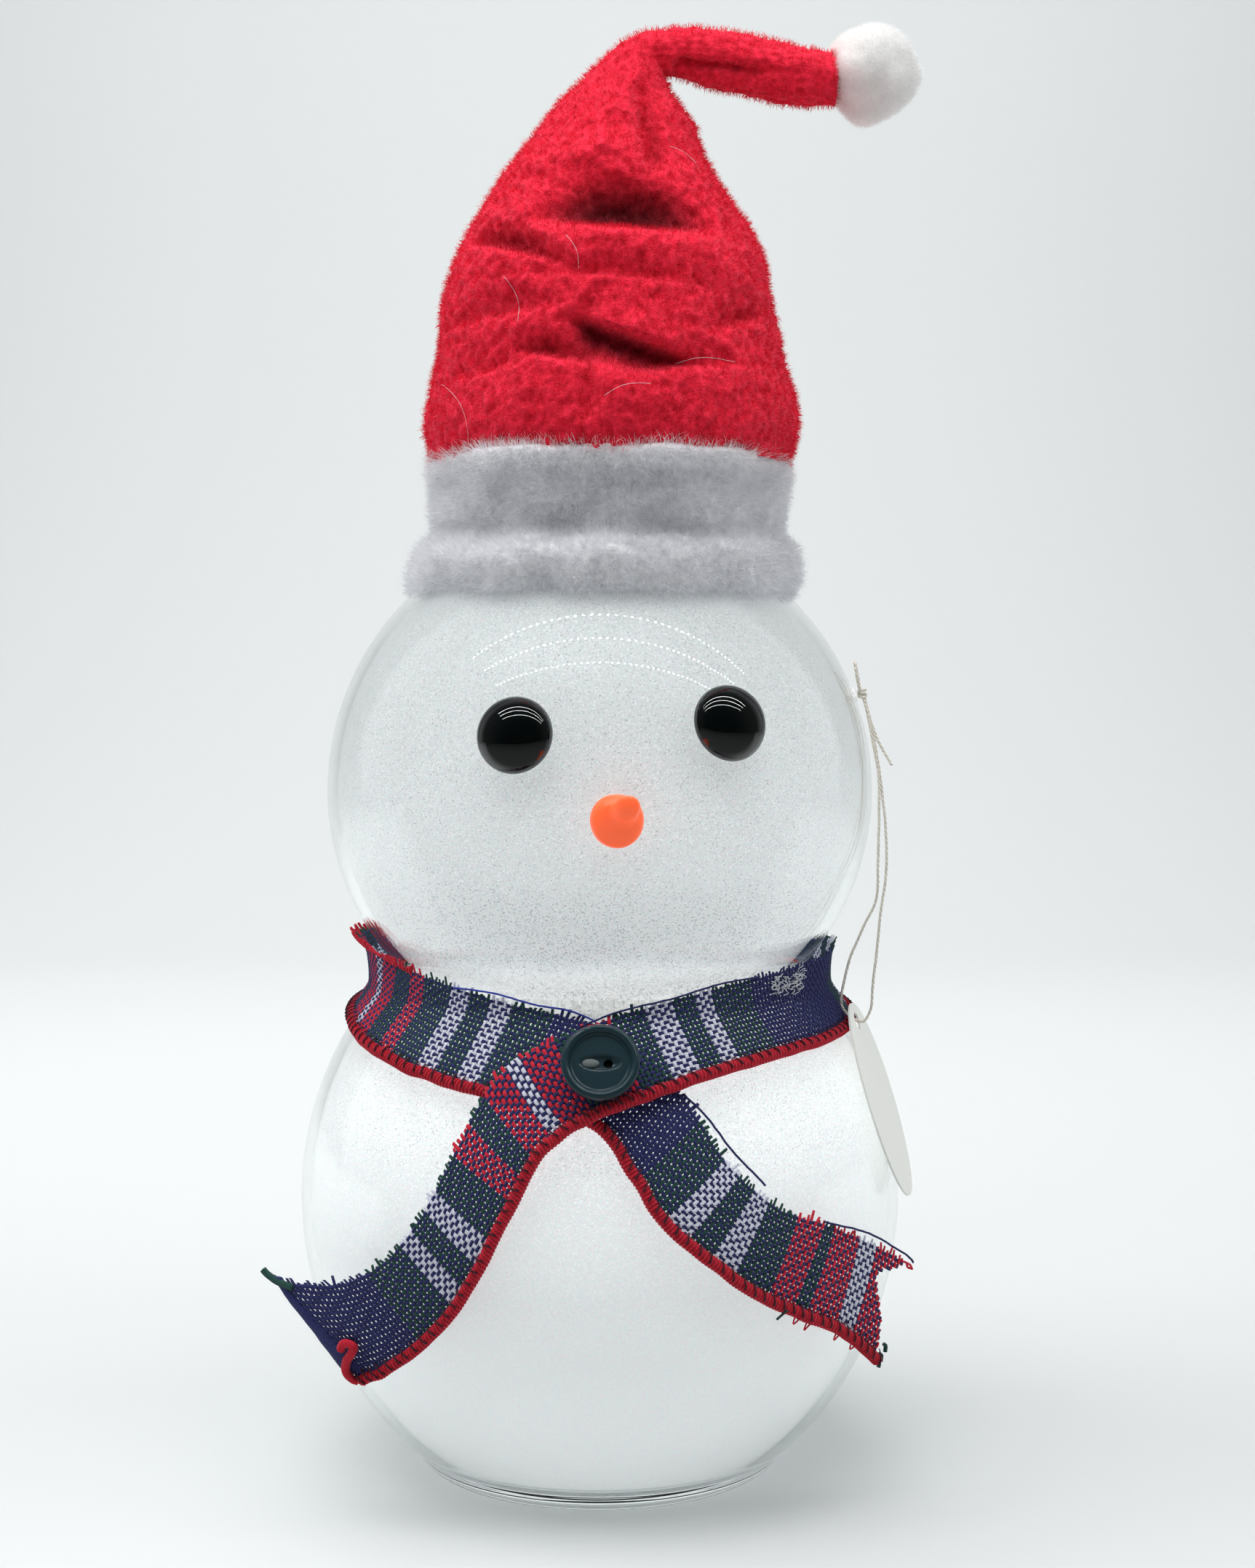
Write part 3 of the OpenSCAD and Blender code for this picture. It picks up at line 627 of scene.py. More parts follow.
EYE_D, EYE_DEPTH = 18.0, 7.0
EYES = {"left": (-16.2, 13.7), "right": (25.6, 15.8)}


def make_eye(side):
    az, el = EYES[side]
    r = EYE_D / 2
    arc = np.radians(np.linspace(0, 86, 30))
    dome = np.stack([r * np.cos(arc), 0.9 + (EYE_DEPTH - 0.9) * np.sin(arc)], -1)
    grid = on_head(turned(np.vstack([[[r - 0.7, 0], [r - 0.25, 0.2]], dome])), az, el, 0.7)
    shape = Shape()
    shape.grid(grid, wrap_columns=True)
    shape.fan(grid[0], grid[0].mean(0)[None], flip=True)
    top = on_head(np.array([[0, 0, EYE_DEPTH]]), az, el, 0.7)
    shape.fan(grid[-1], top)
    return settle(weld(shape.make(side + "_eye_dome", [EYE_BLACK])), "bowls", "eye_black", side + "_eye")


def make_nose():
    """A dab of craft paint: a round foot with a smaller peak that leans up and to the right."""
    rows = [[5.2, 0, 0, 0], [6.05, 0.9, 0, 0], [6.1, 2.2, 0.1, 0], [5.5, 3.6, 0.2, 0],
            [4.2, 4.5, 0.6, 0.6], [3.3, 4.9, 1.3, 1.8], [3.0, 5.8, 1.8, 2.9], [2.9, 6.9, 2.1, 3.5],
            [2.1, 7.9, 2.3, 3.9], [0.6, 8.25, 2.4, 4.0]]
    ring = curve(rows, 5)
    angle = np.linspace(0, 2 * np.pi, 56, endpoint=False)
    grid = np.stack([ring[:, 2:3] + ring[:, :1] * np.cos(angle), ring[:, 3:4] + ring[:, :1] * np.sin(angle),
                     np.repeat(ring[:, 1:2], 56, 1)], -1)
    grid[..., :2] *= 1 + 0.03 * lumps(grid, 3.5, 3)[..., None]
    shape = Shape()
    shape.capped(on_head(grid, 3, -1.8, 0.6))
    return settle(weld(shape.make("nose_dab", [NOSE_ORANGE])), "bowls", "nose_orange", "nose")


# ---- Scarf -----------------------------------------------------------------------

# Course of the strip, as in the CAD source: azimuth, height and lift of the hem,
# then of the other edge, from the right tail's end to the left tail's end.
STRIP_ROWS = np.array([
    [53, 38.5, 9.0, 58, 61.5, 8.5],
    [43.5, 49, 4.5, 48.5, 69.5, 4],
    [34, 55.5, 2.2, 40.5, 75, 2.5],
    [24, 63.5, 1.2, 30.5, 81, 1.8],
    [11, 79, 0.6, 22.5, 91.5, 0.8],
    [5.5, 90.5, 0.2, 17.5, 103, 0.2],
    [0.5, 99.5, 0, 11, 113.5, 0],
    [-8, 103.6, 0, -1, 121.5, 0],
    [-22, 106.5, 0, -17, 125.2, 0],
    [-40, 109.5, 0, -37, 128.9, 0],
    [-60, 113, 0, -57, 132, 0],
    [-83, 116, 0, -79, 136, 1.2],
    [-115, 117.3, 0, -113, 135, 0],
    [-150, 118, 0, -150, 135, 0],
    [-185, 118, 0, -186, 135, 0],
    [-220, 117.3, 0, -222, 135, 0],
    [-256, 116, 0, -258, 134, 0],
    [-291, 114.5, 0, -292, 132.7, 1.2],
    [-320, 113.4, 0.6, -323, 130.4, 0.8],
    [-338, 111, 2, -342, 127.6, 2.2],
    [-352, 107.2, 3, -358, 123.5, 3],
    [-363.5, 102, 3, -373, 117, 3],
    [-370.5, 94.5, 2.6, -381, 108, 2.6],
    [-375, 82.5, 1.2, -386.5, 92, 1.4],
    [-381.5, 65, 1.4, -391.5, 77.5, 2.4],
    [-388, 52.5, 3.2, -397, 67.5, 5],
    [-396, 43, 6.2, -405.5, 61, 8.6],
    [-403, 37.5, 9.4, -416.5, 59.5, 14.5]])
RIGHT_FOLD, LEFT_FOLD, BACK = 5.5, 21, 13.5
CLOTH_OFF = 2.0
NECK_WRAP_R = 58.6
STRIP_W = 21.0
YARN_PITCH = 1.2
YARN_HALF_W, YARN_HALF_H, YARN_RISE = 0.47, 0.24, 0.21


def strip_point(s, share):
    """Point of the strip at row s, share 0 at the hem and 1 at the other edge."""
    s, share = np.broadcast_arrays(np.asarray(s, float), np.asarray(share, float))
    row = through(STRIP_ROWS, s)
    az, z, lift = np.moveaxis(row[..., :3] + (row[..., 3:] - row[..., :3]) * share[..., None], -1, 0)
    wave = 0.35 * np.sin(s * 2.3 + 1.2) * (share - 0.5) + 0.25 * np.sin(s * 5.1) * np.sin(share * 4)
    on_glass = glass_radius(z) + CLOTH_OFF
    taut = (on_glass + NECK_WRAP_R + np.hypot(on_glass - NECK_WRAP_R, 1.2)) / 2
    return polar(az, taut + lift + np.maximum(wave, -0.25), z)


def strip_frame(s, share):
    """Point, direction along, direction towards the free edge, and outward normal."""
    step = 0.02
    here = strip_point(s, share)
    along = unit(strip_point(s + step, share) - strip_point(s - step, share))
    across = unit(strip_point(s, share + step) - strip_point(s, share - step))
    return here, along, across, unit(np.cross(across, along))


# Rows closely spaced along the strip, and the length of its middle line up to each.
FINE_S = np.linspace(0, len(STRIP_ROWS) - 1, 4000)
FINE_STEPS = np.diff(strip_point(FINE_S, 0.5), axis=0)
FINE_U = np.concatenate([[0], np.cumsum(np.linalg.norm(FINE_STEPS, axis=1))])
STRIP_LENGTH = FINE_U[-1]

# Tartan sett along the strip: the stripes mirror about the middle of the red
# and white group and repeat every period. Each band ends at a distance from it.
SETT_PERIOD = 161.1
SETT_MIDDLE = 17.8
SETT = [(1.75, WHITE), (9.7, RED), (15.8, GREEN), (22.4, RED), (31.9, GREEN), (38, WHITE),
        (44, GREEN), (49.4, WHITE), (60.8, GREEN), (SETT_PERIOD, NAVY)]

# The right tail ends in another part of the check: bands up to these lengths.
RIGHT_END = [(12.1, RED), (18.7, WHITE), (27.6, RED), (32, GREEN), (40.5, RED)]


def stripe(u):
    if u < RIGHT_END[-1][0]:
        return next(color for limit, color in RIGHT_END if u < limit)
    half = SETT_PERIOD / 2
    d = abs((u - SETT_MIDDLE + half) % SETT_PERIOD - half)
    return next(color for limit, color in SETT if d < limit)


def row_at(u):
    return np.interp(u, FINE_U, FINE_S)


WARP_COUNT = 17
WARP_SHARES = np.linspace(0.06, 0.955, WARP_COUNT)


def stretch(s, share):
    """How far apart crosswise and lengthwise yarns lie, against an even weave."""
    step = 0.02
    run = np.linalg.norm(strip_point(s + step, share) - strip_point(s - step, share), axis=-1)
    length = np.interp(s + step, FINE_S, FINE_U) - np.interp(s - step, FINE_S, FINE_U)
    width = np.linalg.norm(strip_point(s, 1.0) - strip_point(s, 0.0), axis=-1)
    return np.clip(run / np.maximum(length, 0.05), 0.75, 1.6), np.clip(width / STRIP_W, 0.8, 1.8)


def end_cut(share):
    """Length lost from the right tail's notched end at a share of its width."""
    notch = share - 0.74
    return 1.0 + 9.0 * np.exp(-(notch / np.where(notch > 0, 0.13, 0.42)) ** 2)


def runs(keep):
    """Slices of the unbroken stretches of a list of flags."""
    edges = np.flatnonzero(np.diff(np.concatenate([[0], keep.astype(int), [0]])))
    return [slice(a, b) for a, b in zip(edges[::2], edges[1::2]) if b - a > 3]


def weave_strand(name, u0, u1):
    """Yarns of the strip between two lengths, as lengthwise and crosswise pieces."""
    shares = WARP_SHARES
    lengthwise = Shape()
    n = int(round((u1 - u0) / (YARN_PITCH / 2)))
    u = np.linspace(u0, u1, n + 1)
    pick = np.arange(n + 1) + 2 * int(round(u0 / YARN_PITCH))
    for k, share in enumerate(shares):
        keep = (u >= end_cut(share)) & (u <= STRIP_LENGTH - 0.8 - rng.random() * 1.2)
        sway = 0.006 * np.sin(u * 0.9 + 2.1 * k)
        here, along, across, normal = strip_frame(row_at(u), share + sway)
        over = np.cos(np.pi / 2 * pick) * (-1) ** k
        path = (here + normal * (YARN_RISE * over)[:, None])[keep]
        wide = YARN_HALF_W * stretch(row_at(u), share)[1][keep]
        sweep(lengthwise, path[None], across[keep][None], normal[keep][None], wide, YARN_HALF_H, 6, NAVY)
    crosswise = Shape()
    for row in range(int(math.ceil(u0 / YARN_PITCH)), int(u1 / YARN_PITCH)):
        at = row * YARN_PITCH
        fringe = rng.uniform(-0.01, 0.045) + 0.05 * (rng.random() > 0.9)
        ends = [0.02, 1.0 + fringe]
        share = np.unique(np.concatenate([
            ends[:1], shares, (shares[1:] + shares[:-1]) / 2, [ends[1] - 0.02], ends[1:]]))
        count = np.interp(share, shares, np.arange(WARP_COUNT))
        over = -np.cos(np.pi * count) * (-1) ** row * (share < shares[-1] + 0.01)
        stray = rng.normal() * 0.35 * np.maximum(share - 0.96, 0) / 0.06
        here, along, across, normal = strip_frame(row_at(at + stray), share)
        path = here + normal * (YARN_RISE * over + 0.1 * (share > 0.97) * rng.normal())[:, None]
        thick = np.where(share > 0.99, 0.8, 1.0)
        wide = YARN_HALF_W * thick * stretch(row_at(at), share)[0]
        for part in runs(at > end_cut(share)):
            sweep(crosswise, path[None, part], along[None, part], normal[None, part],
                  wide[part], YARN_HALF_H * thick[part], 6, stripe(at))
    return [lengthwise.make(name + "_warp", YARNS), crosswise.make(name + "_weft", YARNS)]


def coil(shape, path, across, up, core, thread, pitch, slot, turns_from=0.0):
    """Thread wound round a path: core is the winding's radius."""
    gap = np.linalg.norm(np.diff(path, axis=0), axis=1)
    run = np.concatenate([[0], np.cumsum(gap)])
    steps = int(run[-1] / pitch * 9)
    at = np.linspace(0, run[-1], steps)
    middle, side, top = (np.stack([np.interp(at, run, values[:, k]) for k in range(3)], -1)
                         for values in (path, across, up))
    side = unit(side)
    top = unit(top)
    angle = (2 * np.pi * at / pitch + turns_from)[:, None]
    out = np.cos(angle) * side + np.sin(angle) * top
    ring = middle + core * out
    along = unit(np.gradient(ring, axis=0))
    sweep(shape, ring[None], np.cross(along, out)[None], out[None], thread * 1.25, thread * 0.8, 5, slot)


HEM_R = 1.6


def make_hem(name, u0, u1):
    """Overlocked edge: red thread wound round the rolled cloth, with dark stitches inside it."""
    u = np.arange(u0, u1, 1.0)
    s = row_at(u)
    here, along, across, normal = strip_frame(s, np.zeros(len(u)))
    here = here + 0.35 * lumps(np.stack([u, 0 * u, 0 * u], -1), 5.0, 8)[:, None] * across
    shape = Shape()
    sweep(shape, here[None], across[None], normal[None], HEM_R * 0.82, HEM_R * 0.72, 8, 0)
    coil(shape, here, across, normal, HEM_R * 0.8, 0.36, 0.95, 0)
    for at in np.arange(u0 + 1, u1 - 1, 2.9):
        at = at + rng.uniform(-0.3, 0.3)
        share = np.array([-0.025, 0.02, 0.06, 0.1])
        here, along, across, normal = strip_frame(np.full(4, row_at(at)), share)
        rise = np.array([[1.6], [1.75], [1.3], [0.4]])
        slant = np.array([[-0.3], [0.0], [0.4], [0.7]])
        path = here + normal * rise + along * slant
        sweep(shape, path[None], along[None], normal[None], 0.26, 0.2, 5, 1)
    return shape.make(name, [HEM_RED, HEM_DARK])


def blend_tail(piece, body, fold):
    """Bakes the piece's placement into its mesh. Points of the strip on either side of the fold are worked
    out but not used.
    """
    step = 0.9 if body == "left_tail" else -0.9
    start = strip_point(fold - step * 0.1, 0.5)
    end = strip_point(fold + step, 0.5)
    start[1] = end[1] = (start[1] + end[1]) / 2
    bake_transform(piece)


def make_scarf():
    back_u = float(np.interp(BACK, FINE_S, FINE_U))
    under = weave_strand("scarf_under", 0.6, back_u) + [make_hem("hem_under", 0, back_u)]
    over = weave_strand("scarf_over", back_u, STRIP_LENGTH) + [make_hem("hem_over", back_u, STRIP_LENGTH)]
    for pieces, body, fold in ((under, "right_tail", RIGHT_FOLD), (over, "left_tail", LEFT_FOLD)):
        for piece in pieces:
            blend_tail(piece, body, fold)
    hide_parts("scarf_right_tail", "scarf_collar")
    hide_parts("scarf_left_tail")
    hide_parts("right_tail_hem", "collar_hem")
    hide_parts("left_tail_hem")


def loose_thread(shape, places, radius=0.22, slot=0):
    """Cord through (row, share, lift) places on the strip."""
    row, share, lift = curve(places, 10).T
    here, along, across, normal = strip_frame(row, share)
    path = here + normal * lift[:, None] + 0.1 * np.stack([lumps(here, 1.5, k) for k in (51, 52, 53)], -1)
    cord(shape, path, radius, 6, slot, (0.2, 1, 0.1))


HEM, BLUE, FLUFF = range(len(YARNS), len(YARNS) + 3)


def loose_right():
    """The right tail's frayed navy ends, its cut end's threads and the loops on its hem."""
    shape = Shape()
    loose_thread(shape, [[5.3, 1.0, 0.3], [4.9, 1.06, 0.5], [4.2, 1.11, 0.7], [3.6, 1.12, 0.8],
                         [3.35, 1.1, 0.8]], 0.28, NAVY)
    loose_thread(shape, [[2.1, 1.0, 0.3], [1.6, 1.03, 0.6], [0.9, 1.07, 0.7], [0.35, 1.05, 0.8],
                         [0.05, 1.03, 0.8], [-0.1, 1.0, 0.9]], 0.28, NAVY)
    loose_thread(shape, [[0.25, 0.97, 0.3], [0, 0.97, 0.5], [-0.2, 0.94, 0.7], [-0.32, 0.97, 0.9]], 0.3, RED)
    for row, share in ((0.05, 0.16), (0.06, 0.06), (0.03, 0.0)):
        places = [[row, share, 0.3], [row - 0.1, share, 0.5], [row - 0.17, share - 0.05, 0.8]]
        loose_thread(shape, places, 0.5, GREEN)
    for row, drop in ((2.0, 0.07), (1.75, 0.09), (1.1, 0.08), (0.75, 0.06)):
        places = [[row, -0.03, 0.9], [row - 0.03, -0.05 - drop, 0.7], [row - 0.1, -0.04, 0.8]]
        loose_thread(shape, places, 0.2, RED)
    loose_thread(shape, [[2.2, 0, 1.2], [2.24, -0.07, 1.1], [2.28, -0.15, 0.6]], 0.3, GREEN)
    return shape


def loose_left():
    """The left tail's red loop, its green end and the folded edge of the cloth."""
    end = len(STRIP_ROWS) - 1
    shape = Shape()
    loose_thread(shape, [[end, 0, 0.2], [end + 0.04, 0.05, 0.9], [end - 0.1, 0.12, 1.5],
                         [end - 0.34, 0.2, 1.6], [end - 0.58, 0.27, 1.6], [end - 0.72, 0.33, 1.6],
                         [end - 0.62, 0.38, 1.7], [end - 0.48, 0.33, 2.0]], 1.1, HEM)
    loose_thread(shape, [[end - 0.35, 0.93, 0.2], [end - 0.1, 0.98, 0.3], [end + 0.05, 1.03, 0.4],
                         [end + 0.08, 1.05, 0.5], [end + 0.1, 1.08, 0.6]], 0.95, GREEN)
    share = np.linspace(0.07, 1.02, 60)
    here, along, across, normal = strip_frame(end - 0.17 + 0.02 * np.sin(9 * share), share)
    here = here + 0.25 * lumps(here, 3.0, 61)[:, None] * along
    sweep(shape, here[None], along[None], normal[None], 2.9 - 1.4 * share, 0.6, 12, NAVY)
    return shape


def loose_collar():
    """The collar's fringe at the left, two pulled threads and a tuft of fluff at the right."""
    shape = Shape()
    for row in np.arange(9.7, 11.6, 0.075):
        tip = rng.uniform(1.03, 1.1)
        lean = rng.normal() * 0.03
        loose_thread(shape, [[row, 0.96, 0.5], [row + lean, 1.01, 0.7], [row + 2 * lean, tip, 0.6]], 0.4, RED)
    loose_thread(shape, [[8.95, 0.98, 0.5], [8.4, 1.07, 0.7], [7.9, 1.05, 0.6], [7.4, 1.06, 0.5],
                         [6.9, 1.0, 0.5]], 0.24, BLUE)
    loose_thread(shape, [[20.4, 1.0, 0.4], [19.8, 1.04, 0.5], [19.1, 1.02, 0.5], [18.4, 1.04, 0.4],
                         [17.9, 1.0, 0.4]], 0.24, NAVY)
    for _ in range(70):
        row, share = rng.uniform(17.38, 17.8), rng.uniform(0.7, 0.92)
        turn, reach = rng.uniform(0, 2 * np.pi), rng.uniform(0.5, 1.0)
        step = np.array([0.05 * math.cos(turn), 0.07 * math.sin(turn)]) * reach
        loose_thread(shape, [[row, share, 0.5], [row + step[0], share + step[1], 1.1],
                             [row + 1.2 * step[0] - step[1], share + 1.2 * step[1] + step[0], 0.7]],
                     0.09, FLUFF)
    return shape


def make_loose_threads():
    """Frayed ends, loops and threads that have come out of the weave."""
    colors = YARNS + [HEM_RED, BLUE_THREAD, PALE_FLUFF]
    for threads, body in ((loose_right, "right_tail"), (loose_left, "left_tail"), (loose_collar, "bowls")):
        settle(threads().make(threads.__name__, colors), body, "tartan_cloth")


# ---- Button ------------------------------------------------------------------------

BUTTON_D, BUTTON_T = 18.0, 3.6
BUTTON_Z, BUTTON_TILT, BUTTON_OFF = 110.5, 30.0, 7.4


def on_crossing(points):
    """Points whose +Z is outwards, set on the scarf's crossing."""
    tilt = math.radians(BUTTON_TILT)
    out = np.array([0, -math.cos(tilt), math.sin(tilt)])
    across = np.array([1.0, 0, 0])
    up = np.cross(out, across)
    start = np.array([0, -float(glass_radius(BUTTON_Z)), BUTTON_Z]) + out * BUTTON_OFF
    return start + points[..., :1] * across + points[..., 1:2] * up + points[..., 2:] * out


def make_button():
    """Dished button with a raised rim, an oval hollow and two thread holes."""
    r = BUTTON_D / 2
    dish = BUTTON_T * 0.62
    rim = np.radians(np.linspace(0, 180, 12))
    outer = [[r - 1.4, 0], [r - 0.7, 0.35], [r - 0.1, BUTTON_T * 0.4]]
    edge = np.stack([r - 1 + np.cos(rim), BUTTON_T - 1 + np.sin(rim)], -1)
    floor_r = np.linspace(r - 2.5, 0.35, 34)
    floor = np.stack([floor_r, np.full(34, dish)], -1)
    grid = turned(np.vstack([outer, edge, floor]), 96)
    oval = np.sqrt((grid[..., 0] / 4.4) ** 2 + (grid[..., 1] / 1.7) ** 2)
    inside = np.hypot(grid[..., 0], grid[..., 1]) < r - 2.4
    grid[..., 2] -= np.where(inside & (grid[..., 2] > 1), 0.9 * smoothstep((1.15 - oval) / 0.45), 0)
    shape = Shape()
    shape.grid(on_crossing(grid), wrap_columns=True)
    shape.fan(on_crossing(grid[0]), on_crossing(np.array([[0, 0, 0.0]])), flip=True)
    shape.fan(on_crossing(grid[-1]), on_crossing(np.array([[0, 0, dish - 0.9]])))
    button = weld(shape.make("button_disc", [BUTTON_TEAL]))
    for side in (-1, 1):
        punch = Shape()
        ring = turned([[1.1, -1], [1.1, BUTTON_T + 1]], 24)
        ring[..., 0] += side * r * 0.2
        punch.grid(on_crossing(ring), wrap_columns=True)
        punch.fan(on_crossing(ring[0]), on_crossing(np.array([[side * r * 0.2, 0, -1.0]])), flip=True)
        punch.fan(on_crossing(ring[1]), on_crossing(np.array([[side * r * 0.2, 0, BUTTON_T + 1]])))
        tool = weld(punch.make("punch", [BUTTON_TEAL]))
        cut = button.modifiers.new("hole", "BOOLEAN")
        cut.object = tool
        cut.operation = "DIFFERENCE"
        apply_modifiers(button)
        bpy.data.objects.remove(tool)
    settle(button, "bowls", "button_teal", "button")
    arc = np.radians(np.linspace(0, 88, 10))
    drop = turned(np.stack([np.cos(arc), np.sin(arc)], -1), 40) * [2.3, 1.15, 0.75] + [-2.5, 0.1, dish - 0.95]
    blob = Shape()
    blob.capped(on_crossing(drop))
    settle(blob.make("hole_glue_drop", [HOLE_GLUE]), "bowls", "clear_glue")


def apply_modifiers(piece):
    graph = bpy.context.evaluated_depsgraph_get()
    graph.update()
    final = bpy.data.meshes.new_from_object(piece.evaluated_get(graph))
    piece.modifiers.clear()
    piece.data = final


# ---- Hat -----------------------------------------------------------------------------

HAT_R = 47.0
# Centre across, height, radius as a share of HAT_R, depth over width, lean to the right
HAT_ROWS = np.array([
    [2.5, 255.6, 0.965, 1, 0],
    [2.9, 263, 1, 1, 0],
    [3.2, 271, 0.99, 1, 0],
    [2.6, 283, 0.93, 0.99, 0],
    [2.2, 295, 0.885, 0.97, 0],
    [2.5, 306, 0.83, 0.95, 0],
    [2.7, 315, 0.74, 0.93, 0],
    [2.5, 324, 0.62, 0.92, 0],
    [3.8, 334, 0.48, 0.93, 3],
    [5.6, 343, 0.37, 0.95, 5],
    [6.8, 350, 0.25, 1, 8],
    [9.6, 356, 0.165, 1.05, 21],
    [13.2, 358.5, 0.128, 1.1, 50],
    [19.5, 359.3, 0.128, 1.1, 84],
    [27, 358.2, 0.145, 1.05, 95],
    [37, 356.4, 0.153, 1, 101],
    [47, 354.3, 0.153, 1, 100],
    [55, 353.1, 0.142, 1, 96],
    [60, 352.7, 0.125, 1, 92]])


def slump(x, z, x0, z0, half_w, drop, depth, tilt):
    """Inward pull under a fold: widens and deepens from the fold's lip over drop, then ends short."""
    t = math.radians(tilt)
    u = (x - x0) * math.cos(t) + (z - z0) * math.sin(t)
    down = (x - x0) * math.sin(t) - (z - z0) * math.cos(t)
    fall = smoothstep(down / drop) * (1 - smoothstep((down - drop) / (0.3 * drop)))
    reach = half_w * (0.45 + 0.55 * np.clip(down / drop, 0, 1))
    return depth * fall * np.exp(-np.abs(u / reach) ** 3.4)


def hat_sag(p):
    """How far the fleece sinks inwards at points of the smooth hat."""
    x, y, z = p[..., 0], p[..., 1], p[..., 2]
    front = smoothstep((-y - 4) / 16)
    back = smoothstep((y - 4) / 16)
    sag = front * (
        slump(x, z, 7, 327.5, 18.5, 15, 10.0, -3)
        + slump(x, z, 3, 272, 13, 10, 7.5, 161)
        + slump(x, z, 22, 284, 9, 7, 3.0, 3)
        + slump(x, z, -20, 314, 14, 8, 5.4, -20)
        + slump(x, z, 4, 304, 25, 6, 1.6, -3)
        + slump(x, z, -25, 299, 13, 9, 2.4, 6)
        + slump(x, z, -10, 287, 8, 8, 4.2, -12)
        + slump(x, z, 31, 296, 9, 8, 3.0, 25)
        + slump(x, z, -30, 285, 10, 9, 1.8, 12))
    sag += front * 4.6 * np.exp(-((x - 13 - (334 - z) * 0.12) / 3.0) ** 2) * smoothstep((z - 322) / 8) \
        * smoothstep((352 - z) / 6)
    sag += front * 1.8 * np.exp(-((x + 3.0) / 3.0) ** 2) * smoothstep((z - 261) / 6) \
        * smoothstep((296 - z) / 8)
    sag += back * (slump(x, z, -4, 318, 19, 11, 6, -8) + slump(x, z, 8, 289, 18, 10, 4.5, 10)
                   + slump(x, z, -22, 300, 12, 7, 2.5, 16))
    crease = 355.2 - 0.1 * (x - 22)
    sag += 2.8 * smoothstep((-y - 1) / 3) * np.exp(-((z - crease) / 1.7) ** 2) * smoothstep((x - 17) / 5) \
        * smoothstep((50 - x) / 16) * (z > 340)
    sag -= front * 1.4 * np.exp(-((z - 306) / 4.5) ** 2 - ((x - 7) / 17) ** 2)
    sag -= front * 1.8 * np.exp(-((z - 331 - 0.15 * x) / 3.5) ** 2 - ((x + 4) / 13) ** 2)
    sag -= front * 1.3 * np.exp(-((z - 287.5 + 0.4 * x) / 3.0) ** 2 - ((x - 10) / 13) ** 2)
    return sag


def hat_grid(s, columns, inset=0.0):
    """Points of the hat's smooth form at rows s, and the directions out of it."""
    x0, z0, share, deep, lean = through(HAT_ROWS, s).T[..., None]
    lean = np.radians(lean)
    angle = np.linspace(0, 2 * np.pi, columns, endpoint=False)
    r = share * HAT_R - inset
    x, y = r * np.cos(angle), r * deep * np.sin(angle)
    grid = np.stack([x0 + x * np.cos(lean), y, z0 - x * np.sin(lean)], -1)
    out = unit(np.stack([np.cos(angle) * np.cos(lean), np.sin(angle) + 0 * lean,
                         -np.cos(angle) * np.sin(lean)], -1))
    return grid, out


def make_hat():
    s = []
    for i in range(len(HAT_ROWS) - 1):
        span = np.linalg.norm(HAT_ROWS[i + 1, :2] - HAT_ROWS[i, :2])
        s.append(i + np.linspace(0, 1, max(int(span / 0.75), 6), endpoint=False))
    s = np.concatenate(s + [[len(HAT_ROWS) - 1]])
    grid, out = hat_grid(s, 380)
    fine = 1.0 * lumps(grid, 2.6, 1) + 0.6 * lumps(grid, 1.3, 2)
    broad = 0.7 * lumps(grid, 16, 4) + 0.5 * lumps(grid, 7, 6)
    near_tip = smoothstep((grid[..., 2] - 335) / 15)
    move = fine * (1 - 0.35 * near_tip) + broad * (1 - 0.6 * near_tip) - hat_sag(grid)
    grid = grid + out * move[..., None]
    shape = Shape()
    shape.grid(grid, wrap_columns=True)
    shape.fan(grid[-1], grid[-1].mean(0)[None])
    hat = weld(shape.make("fleece_hat", [RED_FLEECE]))
    fuzz = fibres("fleece_fuzz", hat, RED_FUZZ, 64000, 1.8, 0.13, 0.9, (0, 0, -0.3), seed=21)
    for piece in (hat, fuzz):
        places = np.empty(len(piece.data.vertices) * 3)
        piece.data.vertices.foreach_get("co", places)
        # Each point's dent depth, kept as fold, drives the painted shade in the fleece.
        fold = piece.data.attributes.new("fold", "FLOAT", "POINT")
        fold.data.foreach_set("value", hat_sag(places.reshape(-1, 3) / MM))
        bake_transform(piece)
    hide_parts("hat_cone", "hat_tip")
    make_hairs(hat)


HAIR_R = 0.045


def make_hairs(hat):
    """Pale hairs caught in the front of the fleece: ends across and up, and a bow."""
    shape = Shape()
    t = np.linspace(0, 1, 16)[:, None]
    for x0, z0, x1, z1, bow in ((-39, 274, -31.6, 259, 2.0), (-23, 298, -19.5, 286.5, 1.6),
                                (17.3, 332, 24.9, 326, 1.4), (18, 276.5, 32.6, 277.5, 1.2),
                                (-8, 307, -5, 299, 1.0), (1, 268, 12, 271, 1.2)):
        line = np.array([x0, z0]) * (1 - t) + np.array([x1, z1]) * t
        line = line + bow * np.sin(np.pi * t) * unit(np.array([z0 - z1, x1 - x0]))
        hits = [hat.ray_cast(Vector((x * MM, -0.2, z * MM)), Vector((0, 1, 0)))[1] for x, z in line]
        path = np.array([[x, hit.y / MM - 1.5, z] for (x, z), hit in zip(line, hits)])
        cord(shape, path, HAIR_R, 4)
    settle(shape.make("stray_hairs", [PALE_FLUFF]), "hat", "red_fleece")


FLEECE_GAP = 5.0    # from the fleece's smooth form in to the filling's


